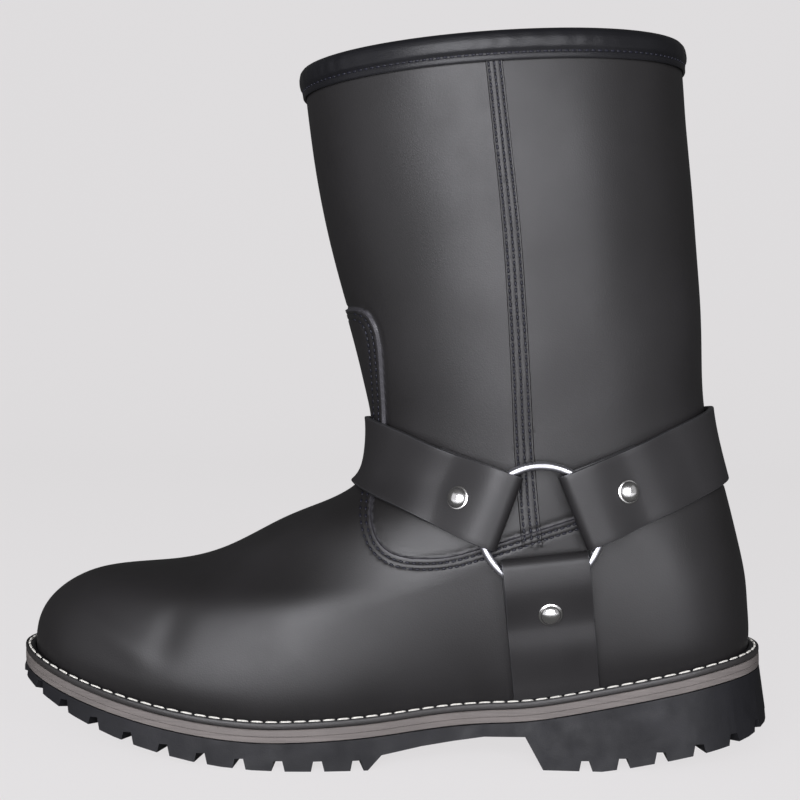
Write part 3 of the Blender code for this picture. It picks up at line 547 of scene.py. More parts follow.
def cloth(name, dark, light, scale=900.0):
    """Matt cloth: a fine weave that is drawn out along the height."""
    n = Nodes(name, 0.85, specular=0.2)
    weave = n.noise(scale, 3, stretch=(1, 1, 0.4))
    colour = n.mix(n.span(weave, 0.35, 0.65, 0, 1), dark, light)
    return n.finish(colour, None, weave, 0.5, 0.0003)


def thread(name, dark, light):
    """Twisted thread: a fine slanting twist and a slight sheen."""
    n = Nodes(name, 0.5, specular=0.4)
    twist = n.noise(1500, 2, stretch=(1, 1, 0.6))
    colour = n.mix(n.span(twist, 0.3, 0.7, 0, 1), dark, light)
    return n.finish(colour, None, twist, 0.4, 0.0001)


def steel(name, colour, low, high):
    """Polished nickel: faint hazing and hairline polishing marks."""
    n = Nodes(name, low, metallic=1.0)
    haze = n.span(n.noise(220, 4), 0.35, 0.7, low, high)
    tint = n.mix(n.span(n.noise(90, 3), 0.3, 0.7, 0, 1), colour, tuple(c * 0.9 for c in colour))
    return n.finish(tint, haze, n.noise(900, 2, stretch=(1, 1, 4)), 0.04, 0.0001)


def finishes():
    """Every finish of the boot, made once and shared."""
    found = bpy.data.materials.get("boot_upper_leather")
    if not found:
        c = bpy.context.scene.boot_colours
        upper, strap = (c.upper_dark, c.upper_light), (c.strap_dark, c.strap_light)
        leather("boot_upper_leather", *map(tuple, upper), (0.06, 0.058, 0.066), 0.37, 0.47, 0.2)
        leather("boot_strap_leather", *map(tuple, strap), (0.03, 0.03, 0.032), 0.40, 0.5, 0.18)
        leather("boot_binding_leather", (0.005, 0.005, 0.006), (0.010, 0.010, 0.012), (0.02, 0.02, 0.02),
                0.27, 0.38, 0.35, coat=0.03, specular=0.26)
        leather("boot_welt_leather", (0.010, 0.010, 0.011), (0.022, 0.021, 0.022), (0.05, 0.045, 0.04),
                0.35, 0.5, 0.3)
        rubber("boot_sole_rubber", tuple(c.sole), tuple(v * 1.5 for v in c.sole))
        edge_board("boot_midsole_edge", tuple(v * 0.55 for v in c.midsole), tuple(c.midsole))
        cloth("boot_lining", (0.014, 0.014, 0.015), (0.035, 0.035, 0.036))
        cloth("boot_insole", (0.03, 0.028, 0.027), (0.06, 0.056, 0.052), 600.0)
        thread("boot_black_thread", (0.002, 0.002, 0.006), (0.007, 0.007, 0.016))
        thread("boot_white_thread", tuple(v * 0.72 for v in c.welt_thread), tuple(c.welt_thread))
        steel("boot_ring_steel", (0.84, 0.84, 0.89), 0.24, 0.34)
        steel("boot_rivet_steel", (0.90, 0.89, 0.87), 0.19, 0.28)
    return {name: bpy.data.materials["boot_" + name] for name in (
        "upper_leather", "strap_leather", "binding_leather", "welt_leather", "sole_rubber", "midsole_edge",
        "lining", "insole", "black_thread", "white_thread", "ring_steel", "rivet_steel",
    )}


# The upper


def stitch_rows(sizes):
    """Signed side-view distances of the stitch rows outside the vamp's edge."""
    return (sizes.row_in, sizes.row_out)


def seam_half(z):
    """Half the width of the side seam's band: four fifths of it at the collar, all of it at the foot."""
    return (0.8 + 0.2 * np.clip((274 - z) / 188, 0, 1)) * SEAM_WIDTH / 2


def seam_share(x, z):
    """How far across the side seam's band a side-view place is: -1 and 1 are the band's two edges."""
    away = line_distance(x, z, even_line(SIDE_SEAM, 3.0))
    return away / seam_half(z)


def outer_height(x, z, y, sizes):
    """How far the leather stands off the last: the vamp's step and the seam's band as eased steps, less bumps
    for the stitch channels and the creases, plus a ripple of two sines up the shaft."""
    edge = line_distance(x, z, even_line(VAMP_EDGE, 2.0))
    vamp = ease((edge + 0.05) / 0.4)
    half = SEAM_WIDTH / 2
    seam = seam_share(x, z) * half
    band = ease((half - np.abs(seam)) / 0.35 + 0.5) * ease((z - 86.5) / 0.8) * ease((279.0 - z) / 1.0)
    height = STEP * vamp + SEAM_RAISE * band * (1 - vamp) + 0.35 * band * vamp
    for row in stitch_rows(sizes):
        height = height - 0.3 * bump((edge - row) / 0.8)
    for row in SEAM_ROWS:
        height = height - 0.3 * bump((seam - row * half) / 0.7) * band
    height = height - 0.35 * bump((edge + 0.9) / 1.2) * (edge < 0)
    ridge = 0.8 * np.exp(-(((z - 51 - 0.48 * (x - 270)) / 5.5) ** 2) - ((x - 268) / 17) ** 2)
    dent = 0.9 * np.exp(-(((x - 246 + 0.3 * (z - 55)) / 7) ** 2) - ((z - 54) / 13) ** 2)
    crease = (dent - ridge) * np.where(y < swing(x), 1.0, 0.6)
    ripple = 0.35 * np.sin(x / 11 + 1.3 * np.sin(z / 23)) * np.sin(z / 17 + x / 31)
    height = height - crease + ripple * ease((z - 120) / 30) * ease((275 - z) / 20) * 0.6
    return height, edge, seam, band


def make_upper(sizes):
    """The outer skin is the last raised by outer_height, cut along its feature lines. The inner face is the
    last sunk by part of the wall. Strips join the two at the feather line and the collar."""
    rows, columns = 150, 300
    v = np.linspace(0, 1, rows)
    a = np.arange(columns + 1) * 2 * math.pi / columns
    vv, aa = np.meshgrid(v, a, indexing="ij")
    quads = grid_quads(rows, columns + 1)
    faces = np.concatenate([quads[:, [0, 1, 2]], quads[:, [0, 2, 3]]])
    params = np.stack([vv.ravel(), aa.ravel()], axis=1)
    edge_line = even_line(VAMP_EDGE, 2.0)

    def measure(params):
        """Distances from the vamp's edge and from the seam's middle, for each point."""
        spots = surface(params[:, 0], params[:, 1])
        edge = line_distance(spots[:, 0], spots[:, 2], edge_line)
        return edge, seam_share(spots[:, 0], spots[:, 2]) * SEAM_WIDTH / 2

    edge_levels = [-0.9, -0.05, 0.35] + [row + d for row in stitch_rows(sizes) for d in (-0.6, 0.0, 0.6)]
    seam_levels = (-4.15, -3.8, -3.25, -2.72, -2.2, -0.55, 0.0, 0.55, 2.2, 2.72, 3.25, 3.8, 4.15)
    for which, level in [(0, d) for d in edge_levels] + [(1, d) for d in seam_levels]:
        values = measure(params)[which]
        if which:
            spots = surface(params[:, 0], params[:, 1])
            near = (np.abs(values) < 12) & (spots[:, 2] > 78) & (spots[:, 2] < 280)
            touched = near[faces].all(axis=1)
            params, some = split_along(params, faces[touched], values, level)
            faces = np.concatenate([faces[~touched], some])
        else:
            params, faces = split_along(params, faces, values, level)
    spots = surface(params[:, 0], params[:, 1])
    height, edge, seam, band = outer_height(spots[:, 0], spots[:, 2], spots[:, 1], sizes)
    outer = raised(params[:, 0], params[:, 1], height)
    cut_edge = bump((edge - 0.15) / 0.45) * 0.9
    # Painted shade: darker in the channels of the vamp's two stitch rows, in a line just outside the vamp's
    # edge where its step casts shade, and along the seam's stitch rows.
    painted_shade = np.maximum.reduce([bump((edge - row) / 0.5) * 0.35 for row in stitch_rows(sizes)])
    painted_shade = np.maximum(painted_shade, bump((edge + 0.45) / 0.5) * 0.85)
    seam_lines = np.maximum.reduce([bump((seam - row * SEAM_WIDTH / 2) / 0.5) for row in SEAM_ROWS])
    painted_shade = np.maximum(painted_shade, seam_lines * band * 0.35)
    inner_rows, inner_columns = 60, 120
    inner_a = np.arange(inner_columns + 1) * 2 * math.pi / inner_columns
    iv, ia = np.meshgrid(np.linspace(0, 1, inner_rows), inner_a, indexing="ij")
    inner = raised(iv.ravel(), ia.ravel(), -WALL + 0.7)
    inner_quads = grid_quads(inner_rows, inner_columns + 1) + len(outer)
    inner_faces = np.concatenate([inner_quads[:, [0, 2, 1]], inner_quads[:, [0, 3, 2]]])
    points = np.concatenate([outer, inner])
    used, rims = np.unique(faces), []
    for level in (0.0, 1.0):
        near = used[np.abs(params[used, 0] - level) < 1e-9]
        far = np.flatnonzero(np.abs(iv.ravel() - level) < 1e-9)
        rims.append(zip_rims(near, params[near, 1], far + len(outer), ia.ravel()[far]))
    joined = np.concatenate([faces, inner_faces, *rims])
    zeros = np.zeros(len(inner))
    levels = {"cut_edge": np.concatenate([cut_edge, zeros]), "painted_shade": np.concatenate([painted_shade, zeros])}
    made = finishes()
    skin = make_mesh("upper_skin", points, joined, made["upper_leather"], 35, levels=levels)
    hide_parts("upper")
    low, high = (raised(iv, ia, out)[:, :-1] for out in (-WALL + 0.6, -WALL))
    sheet = np.concatenate([low, high[::-1]])
    sheet_quads = grid_quads(2 * inner_rows, inner_columns, wrap_rows=True, wrap_columns=True)
    lining = make_mesh("lining", sheet.reshape(-1, 3), sheet_quads, made["lining"])
    return skin, lining


def zip_rims(one_ids, one_at, other_ids, other_at):
    """Triangles between two open rims: in the order of their angles, each point in turn closes one."""
    one = one_ids[np.argsort(one_at, kind="stable")]
    other = other_ids[np.argsort(other_at, kind="stable")]
    order = np.argsort(np.concatenate([np.sort(one_at), np.sort(other_at)]), kind="stable")
    is_one = order < len(one)
    i, j = np.cumsum(is_one) - 1, np.cumsum(~is_one) - 1
    ready = (i >= 0) & (j >= 0) & np.where(is_one, i >= 1, j >= 1)
    is_one, i, j = is_one[ready], i[ready], j[ready]
    third = np.where(is_one, one[np.maximum(i - 1, 0)], other[np.maximum(j - 1, 0)])
    return np.stack([one[i], other[j], third], axis=1)


# Stitches


def stitch_shape(length, width, rise, around=6, along=5):
    """One stitch about the origin: a rod, its radius the root of 1 less the cube of the way to its end."""
    t = np.linspace(-1, 1, along + 2)[1:-1]
    turn = np.arange(around) * 2 * math.pi / around
    radius = np.sqrt(1 - np.abs(t) ** 3)
    rows = np.stack(
        [
            np.broadcast_to((t * length / 2)[:, None], (along, around)),
            radius[:, None] * np.cos(turn)[None, :] * width / 2,
            radius[:, None] * np.sin(turn)[None, :] * rise,
        ],
        axis=-1,
    )
    ends = np.array([[-length / 2, 0, 0], [length / 2, 0, 0]])
    points = np.concatenate([rows.reshape(-1, 3), ends])
    quads = grid_quads(along, around, wrap_columns=True)
    j = np.arange(around)
    k = (j + 1) % around
    base = (along - 1) * around
    first = np.stack([np.full(around, along * around), k, j], axis=1)
    last = np.stack([np.full(around, along * around + 1), base + j, base + k], axis=1)
    return points, np.concatenate([quads[:, [0, 1, 2]], quads[:, [0, 2, 3]], first, last])


def lay_stitches(middles, along, out, shape):
    """Copies of one stitch shape, each turned to its own direction and normal, as one array."""
    points, faces = shape
    along = unit(along)
    out = out - along * (out * along).sum(axis=1, keepdims=True)
    out = unit(out)
    across = np.cross(out, along)
    axes = np.stack([along, across, out], axis=1)
    laid = middles[:, None, :] + np.einsum("pk,nkc->npc", points, axes)
    shift = np.arange(len(middles))[:, None, None] * len(points)
    return laid.reshape(-1, 3), (faces[None] + shift).reshape(-1, 3)


def make_stitches(name, groups, finish, shape):
    """All the stitches of several rows as one mesh."""
    points, faces, base = [], [], 0
    for middles, along, out in groups:
        some, cells = lay_stitches(middles, along, out, shape)
        points.append(some)
        faces.append(cells + base)
        base += len(some)
    return make_mesh(name, np.concatenate(points), np.concatenate(faces), finish, smooth=None)


def row_on_side(line, side, height):
    """Stitch places, directions and normals along a side-view line on one side of the boot."""
    v, a = place_in_side_view(line[:, 0], line[:, 1], side)
    spots = raised(v, a, height)
    along = np.gradient(spots, axis=0)
    return spots, along, surface_normal(v, a)


def beside(line, away):
    """The line moved sideways by away, to the right of the way it runs."""
    run = np.gradient(line, axis=0)
    run = unit(run)
    return line + np.stack([run[:, 1], -run[:, 0]], axis=1) * away


def vamp_rows(sizes):
    """Two rows on each side of the boot: the vamp's edge moved inwards by each row's distance."""
    groups = []
    for side in (OUTER, INNER):
        for away in stitch_rows(sizes):
            line = beside(even_line(VAMP_EDGE[1:-1], 0.8), -away)
            line = even_line(line[::4], sizes.stitch_pitch)
            line = line[(line[:, 0] > 42) & (line[:, 0] < 171.0)]
            groups.append(row_on_side(line, side, STEP - 0.12))
    return groups


def seam_rows(sizes):
    """Three rows on each side of the boot: the seam's line moved sideways by shares of its half-width."""
    groups = []
    seam = even_line(SIDE_SEAM, 1.0)
    for side in (OUTER, INNER):
        for share in SEAM_ROWS:
            line = beside(seam, (share * seam_half(seam[:, 1]))[:, None])
            line = even_line(line[::3], sizes.stitch_pitch)
            line = line[(line[:, 1] > 88.5) & (line[:, 1] < 277)]
            edge = line_distance(line[:, 0], line[:, 1], even_line(VAMP_EDGE, 2.0))
            height = np.where(edge > 0, STEP + 0.2, SEAM_RAISE - 0.12)
            groups.append(row_on_side(line, side, height))
    return groups


def collar_edge(a):
    """The collar's edge at angles a, its outward normal, and the way up the wall there."""
    ones = np.ones(len(a))
    edge = surface(ones, a)
    return edge, surface_normal(ones, a), unit(edge - surface(np.full(len(a), 0.98), a))


def round_tangent(spots):
    """Directions along a closed row: each point's next neighbour less the one before it."""
    return np.roll(spots, -1, axis=0) - np.roll(spots, 1, axis=0)


def binding_row(sizes):
    """One row round the collar, on the binding's flat part below its roll."""
    edge, normal, up = collar_edge(even_angles(int(400 / sizes.stitch_pitch), 1.0))
    spots = edge + normal * 1.08 + up * -7.15
    return [(spots, round_tangent(spots), normal)]


def even_angles(count, v, grow=None):
    """Angles round the boot that part a ring, or the sole's edge, into equal lengths."""
    a = np.linspace(0, 2 * math.pi, 4001)
    line = surface(np.full(len(a), v), a) if grow is None else sole_edge(a, grow)
    length = run_length(line)
    return np.interp((np.arange(count) + 0.5) / count * length[-1], length, a)


def welt_row(sizes):
    """One row round the welt's channel, as a line that keeps its distance from the feather line."""
    a = even_angles(int(sizes.welt_stitches), 0.0, WELT_REACH - 1.7)
    edge = sole_edge(a, WELT_REACH - 1.7)
    spots = np.column_stack([edge, feather_z(edge[:, 0]) + WELT_THICK - 0.05])
    return [(spots, round_tangent(spots), np.broadcast_to([0.0, 0.0, 1.0], spots.shape))]


# Collar, welt, midsole, insole


def make_binding(sizes):
    """The rolled binding: a closed section swept round the collar's edge, its roll puckered by sines."""
    section = np.array(BINDING)
    loop = np.concatenate([section, section[:1]])
    length = run_length(loop)
    at = np.unique(np.concatenate([np.linspace(0, length[-1], 61)[:-1], length[:-1]]))
    fine = np.stack([np.interp(at, length, loop[:, 0]), np.interp(at, length, loop[:, 1])], axis=-1)
    round_part = (fine[:, 1] > -9.4) & ((fine[:, 0] > 0.8) | (fine[:, 1] > 0.35) | (fine[:, 0] < -2.9))
    smooth = (np.roll(fine, 1, 0) + 2 * fine + np.roll(fine, -1, 0)) / 4
    fine = np.where(round_part[:, None], smooth, fine)
    a = np.arange(420) * 2 * math.pi / 420
    edge, normal, up = collar_edge(a)
    roll = bump((fine[:, 1] + 2.5) / 5.0) * (fine[:, 0] > 0.8)
    pucker = np.sin(a * 61 + 2 * np.sin(a * 7)) * (0.5 + 0.5 * np.sin(a * 5 + 1)) * sizes.pucker
    out = fine[None, :, 0] + pucker[:, None] * roll[None, :]
    points = edge[:, None] + normal[:, None] * out[..., None] + up[:, None] * fine[None, :, 1:]
    quads = grid_quads(len(a), len(fine), wrap_rows=True, wrap_columns=True)
    # Painted shade: a dark line along the stitch groove on the binding's flat part, below its roll.
    painted_shade = np.broadcast_to((bump((fine[:, 1] + 7.1) / 0.7) * (fine[:, 0] > 0.5) * 0.8)[None], out.shape)
    piece = make_mesh("rolled_binding", points.reshape(-1, 3), quads, finishes()["binding_leather"],
                      50, levels={"painted_shade": painted_shade, "cut_edge": np.zeros(out.shape)})
    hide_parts("collar_binding")
    return piece


def make_welt():
    """The welt: a section, rounded outside and with a stitch channel on top, swept round the sole's edge.
    Each row of the section says how far out, how far up, how dark its painted shade makes it, and how frayed
    it is."""
    low, top, reach = STEP + 0.5, WELT_THICK, WELT_REACH
    section = np.array([
        (low, 0.05, 0, 0), (reach - 0.5, 0.0, 0, 0), (reach - 0.1, 0.25, 0, 0.2), (reach, 0.8, 0, 0.3),
        (reach, top - 0.9, 0, 0.3), (reach - 0.15, top - 0.35, 0, 0.2), (reach - 0.5, top - 0.02, 0, 0),
        (reach - 0.9, top, 0, 0), (reach - 1.2, top - 0.1, 0.3, 0), (reach - 1.45, top - 0.38, 0.8, 0),
        (reach - 1.95, top - 0.38, 0.8, 0), (reach - 2.2, top - 0.1, 0.3, 0), (reach - 2.5, top, 0, 0),
        (low + 0.4, top, 0.5, 0), (low, top - 0.4, 0.8, 0),
    ])
    a = even_angles(480, 0.0, 4.0)
    edges = np.stack([sole_edge(a, grow) for grow in section[:, 0]], axis=1)
    z = feather_z(edges[..., 0]) + section[None, :, 1]
    points = np.concatenate([edges, z[..., None]], axis=-1)
    quads = grid_quads(len(a), len(section), wrap_rows=True, wrap_columns=True)
    # Painted shade: column 2 darkens the stitch channel and the welt's inner edge next to the upper; column 3
    # is the paler cut edge.
    painted_shade, cut = (np.broadcast_to(section[None, :, i], z.shape) for i in (2, 3))
    piece = make_mesh("welt_strip", points.reshape(-1, 3), quads, finishes()["welt_leather"],
                      40, levels={"painted_shade": painted_shade, "cut_edge": cut})
    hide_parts("welt")
    return piece


def midsole_base(x):
    """The midsole's underside: the rubber's top and a gap."""
    return rubber_top_z(x) + GAP


def make_midsole():
    """The midsole: a plate whose rim is slightly crowned, with a fine groove between its two layers."""
    top, reach = MIDSOLE_THICK, WELT_REACH
    profile = [
        (reach - 0.35, 0.0), (reach - 0.05, 0.25), (reach, 1.4), (reach, 2.35), (reach - 0.28, 2.5),
        (reach, 2.65), (reach, 4.3), (reach - 0.05, top - 0.3), (reach - 0.35, top),
    ]
    return plate_piece("midsole_layers", "midsole", profile, midsole_base, "midsole_edge")


def plate_piece(name, node, profile, base, finish, count=480):
    """A plate whose rim follows profile; its two faces run straight across from one side to the other."""
    a = np.arange(count) * 2 * math.pi / count
    rims = []
    for grow, up in profile:
        edge = sole_edge(a, grow)
        rims.append(np.column_stack([edge, base(edge[:, 0]) + up]))
    shares = np.linspace(1, 0, 7)[1:]
    mirror = (count - np.arange(count)) % count
    under = [rims[0] * (1 + s) / 2 + rims[0][mirror] * (1 - s) / 2 for s in shares]
    over = [rims[-1] * (1 + s) / 2 + rims[-1][mirror] * (1 - s) / 2 for s in shares]
    rows = np.stack(under[::-1] + rims + over)
    quads = grid_quads(len(rows), count, wrap_columns=True)
    piece = make_mesh(name, rows.reshape(-1, 3), quads, finishes()[finish], 40)
    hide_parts(node)
    return piece


def make_insole():
    """The footbed: a plate with a soft rolled rim."""
    out = -WALL - 1.0
    profile = [(out - 0.6, 0.0), (out, 0.6), (out, INSOLE_THICK - 1.0), (out - 0.4, INSOLE_THICK - 0.3),
               (out - 1.4, INSOLE_THICK)]
    return plate_piece("footbed", "insole", profile, feather_z, "insole", 240)


def make_outsole(sizes):
    """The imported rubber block, its doubles merged and every moulded edge eased."""
    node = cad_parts["outsole"]
    mesh = node.data.copy()
    work = bmesh.new()
    work.from_mesh(mesh)
    bmesh.ops.remove_doubles(work, verts=work.verts, dist=2e-6)
    work.to_mesh(mesh)
    work.free()
    piece = bpy.data.objects.new("lug_sole", mesh)
    bpy.context.scene.collection.objects.link(piece)
    mesh.materials.clear()
    mesh.materials.append(finishes()["sole_rubber"])
    mesh.polygons.foreach_set("use_smooth", np.ones(len(mesh.polygons), bool))
    mesh.set_sharp_from_angle(angle=math.radians(32))
    ease_edges = piece.modifiers.new("eased_edges", "BEVEL")
    ease_edges.width = sizes.lug_round * MM
    ease_edges.segments = 2
    ease_edges.limit_method = "ANGLE"
    ease_edges.angle_limit = math.radians(32)
    ease_edges.use_clamp_overlap = True
    ease_edges.face_strength_mode = "FSTR_AFFECTED"
    even_light = piece.modifiers.new("even_light", "WEIGHTED_NORMAL")
    even_light.weight = 100
    even_light.use_face_influence = True
    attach(piece, "root")
    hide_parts("outsole")
    return piece


# The harness


def ring_frame(side):
    """Centre of a ring and three directions: forward along the boot, up, and out of the leather."""
    v, a = place_in_side_view(*RING_CENTRE, side)
    ways = ((RING_SPAN, 0), (-RING_SPAN, 0), (0, RING_SPAN), (0, -RING_SPAN))
    around = [place_in_side_view(RING_CENTRE[0] + dx, RING_CENTRE[1] + dz, side) for dx, dz in ways]
    corners = [surface(*spot) for spot in around]
    forward, up = corners[0] - corners[1], corners[2] - corners[3]
    out = np.cross(forward, up) * -side
    out = unit(out)
    out = out * np.sign(out[1] * side)
    forward = forward - out * (forward @ out)
    forward = unit(forward)
    up = np.cross(out, forward)
    up = up * np.sign(up[2])
    rise = STEP + STRAP_GAP + STRAP_THICK + GAP + WIRE_RADIUS
    heights = [(corner - surface(v, a)) @ out for corner in corners]
    return surface(v, a) + out * (rise + max(0.0, *heights) + RING_CLEARANCE), forward, up, out


def strap_ways(angle):
    """A strap's two directions in side view: ahead along it at angle, and across it a quarter turn on."""
    ahead = np.array([math.cos(math.radians(angle)), math.sin(math.radians(angle))])
    return ahead, np.array([-ahead[1], ahead[0]])


def strap_lay(side, angle, along, sideways, height):
    """Points over the leather, along a strap's line and across it in side view."""
    ahead, wide = strap_ways(angle)
    spots = np.array(RING_CENTRE) + along[..., None] * ahead + sideways[..., None] * wide
    v, a = place_in_side_view(spots[..., 0], spots[..., 1], side)
    return surface(v, a) + surface_normal(v, a) * height[..., None]


def strap_layer(side, angle, along, sideways, over_ring, over_leather):
    """A layer's points: eased from the plane of the ring to the leather between the ring and LAYERS_MEET."""
    centre, forward, up, out = ring_frame(side)
    turn = math.radians(angle)
    ahead = forward * math.cos(turn) + up * math.sin(turn)
    wide = -forward * math.sin(turn) + up * math.cos(turn)
    along, sideways = np.broadcast_arrays(np.asarray(along, float), np.asarray(sideways, float))
    over_ring = np.broadcast_to(over_ring, along.shape)
    flat = centre + along[..., None] * ahead + sideways[..., None] * wide + out * over_ring[..., None]
    laid = strap_lay(side, angle, along, sideways, np.broadcast_to(over_leather, along.shape))
    share = ease((along - LAYERS_PART) / (LAYERS_MEET - LAYERS_PART))[..., None]
    return flat * (1 - share) + laid * share


def strap_end(side, angle, half_width, across):
    """Rows from the folded tail, round the ring's wire and out to where the strap lies down."""
    inside = math.sqrt((RING_RADIUS - WIRE_RADIUS) ** 2 - half_width**2)
    fold_at = inside - FOLD_CLEARANCE + LAYER_APART - STRAP_THICK / 2
    sideways = (across * half_width)[None, :]
    stations = np.linspace(TAIL_END, 22.0, 13)
    bend = np.linspace(0, math.pi, 15)
    fold = fold_at - LAYER_APART * np.sin(bend)
    lift = -LAYER_APART * np.cos(bend)
    last = np.linspace(TAIL_END, LAY_DOWN, 7)[1:]
    down = UNDER_LAYER + (OVER_LAYER - UNDER_LAYER) * (1 - ease(np.linspace(0, 1, 7)[1:]))
    along = np.concatenate([stations, fold, stations[::-1], last])[:, None]
    tail, front = np.full(13, -LAYER_APART), np.full(13, LAYER_APART)
    over_ring = np.concatenate([tail, lift, front, np.zeros(6)])[:, None]
    laid = np.concatenate(
        [np.full(13, UNDER_LAYER), np.zeros(15), np.full(13, OVER_LAYER), down]
    )[:, None]
    along, side_grid = np.broadcast_arrays(along, sideways)
    return strap_layer(side, angle, along, side_grid, np.broadcast_to(over_ring, along.shape),
                       np.broadcast_to(laid, along.shape))


def reach_of(angle, across, half_width):
    """How far from the ring the boot's front or back edge is, in side view, for each line across a strap."""
    v = np.linspace(0, 1, 801)
    ring = ring_values(v)
    ends = ("front_x", "front_z") if abs(angle) < 90 else ("back_x", "back_z")
    edge = np.stack([ring[ends[0]], ring[ends[1]]], axis=-1)
    ahead, wide = strap_ways(angle)
    away, sideways = (edge - RING_CENTRE) @ ahead, (edge - RING_CENTRE) @ wide
    order = np.argsort(sideways)
    near = order[(away[order] > 50) & (np.abs(sideways[order]) < 40)]
    return np.interp(across * half_width, sideways[near], away[near])


def wrapped_rows(angle, half, across):
    """A strap's middle face from the outer ring, over the boot's edge, to the inner ring."""
    reach = reach_of(angle, across, half)
    turn = np.linspace(0, math.pi / 2, 17)[1:, None]
    along = LAY_DOWN + (reach[None, :] - LAY_DOWN) * np.sin(turn)
    sideways = np.broadcast_to(across * half, along.shape)
    low = np.full(along.shape, UNDER_LAYER)
    outer = strap_lay(OUTER, angle, along, sideways, low)
    inner = strap_lay(INNER, angle, along, sideways, low)[:-1]
    ends = [strap_end(side, angle, half, across) for side in (OUTER, INNER)]
    return np.concatenate([ends[0], outer, inner[::-1], ends[1][::-1]])


def side_rows(side, half, across):
    """A strap's middle face from its ring down to the welt."""
    angle = STRAP_ANGLES["side"]
    ahead, wide = strap_ways(angle)
    line = np.linspace(40, 90, 501)[:, None, None] * ahead
    line = np.array(RING_CENTRE) + line + (across * half)[None, :, None] * wide
    clear = line[..., 1] > feather_z(line[..., 0]) + WELT_THICK + SIDE_STRAP_RISE
    ends = 40 + 50 * clear.mean(axis=0)
    share = np.linspace(0, 1, 9)[1:, None]
    along = LAY_DOWN + (ends[None, :] - LAY_DOWN) * share
    sideways = np.broadcast_to(across * half, along.shape)
    laid = strap_lay(side, angle, along, sideways, np.full(along.shape, UNDER_LAYER))
    return np.concatenate([strap_end(side, angle, half, across), laid])


def refine_rows(rows, step):
    """The same middle face with rows every step millimetres, on a natural spline through the given rows."""
    middle = rows[:, rows.shape[1] // 2]
    length = run_length(middle)
    at = np.linspace(0, length[-1], int(length[-1] / step))
    bent = np.interp(at, (length[1:] + length[:-1]) / 2, 1.0 / np.maximum(np.diff(length), 1e-3))
    weight = np.concatenate([[0], np.cumsum(0.5 + np.clip(bent, 0, 1.4))])[:-1]
    at = np.interp(np.linspace(0, weight[-1], len(at)), weight, at)
    return spline(length, rows, at)


def strap_solid(middle, thick, round_off):
    """A strap of even thickness about its middle face, with rounded long edges.

    The normal is the cross product of the face's two gradients. Each row's section is a closed loop over the
    top, round one edge, back under and round the other."""
    along = np.gradient(middle, axis=0)
    across = np.gradient(middle, axis=1)
    normal = np.cross(along, across)
    normal = unit(normal)
    half = thick / 2
    columns = middle.shape[1]
    side = unit(across)
    inward = np.zeros(columns)
    inward[0], inward[-1] = round_off, -round_off
    flat = middle + side * inward[None, :, None]
    top = flat + normal * half
    under = flat - normal * half
    turn = np.linspace(math.pi / 2, -math.pi / 2, 7)[1:-1]

    def edge(column, sign):
        """The rounded edge: a superellipse's quarter turns out from the flat face's border."""
        outward, upward = side[:, column] * sign * round_off, normal[:, column] * half
        return np.stack(
            [flat[:, column] + outward * np.cos(t) ** 0.6
             + upward * np.sign(np.sin(t)) * np.abs(np.sin(t)) ** 0.6 for t in turn], axis=1)

    right = edge(-1, 1)
    left = edge(0, -1)[:, ::-1]
    loop = np.concatenate([top, right, under[:, ::-1], left], axis=1)
    paint = np.concatenate([np.zeros(columns), np.ones(5), np.zeros(columns), np.ones(5)])
    return loop, paint


def make_strap(name, node, rows):
    """A strap from its middle face: refined rows, made solid, closed at both ends, with paler cut edges."""
    middle = refine_rows(rows, 1.1)
    loop, paint = strap_solid(middle, STRAP_THICK, 0.55)
    points, quads = tube_grid(loop)
    paint = np.broadcast_to(paint * 0.7, (len(loop) + 2, loop.shape[1])).copy()
    paint[:2], paint[-2:] = 0.7, 0.7
    piece = make_mesh(name, points, quads, finishes()["strap_leather"], 45,
                      levels={"cut_edge": paint, "painted_shade": np.zeros(paint.shape)})
    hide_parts(node)
    return piece


def make_ring(name, node, side):
    """A torus: a circle of the wire's radius carried round the ring's circle."""
    centre, forward, up, out = ring_frame(side)
    t, s = np.arange(144) * 2 * math.pi / 144, np.arange(20) * 2 * math.pi / 20
    tt, ss = np.meshgrid(t, s, indexing="ij")
    radial = np.cos(tt)[..., None] * forward + np.sin(tt)[..., None] * up
    points = centre + radial * (RING_RADIUS + WIRE_RADIUS * np.cos(ss))[..., None]
    points = points + out * (WIRE_RADIUS * np.sin(ss))[..., None]
    piece = make_mesh(name, points.reshape(-1, 3), grid_quads(144, 20, True, True), finishes()["ring_steel"],
                      None)
    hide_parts(node)
    return piece


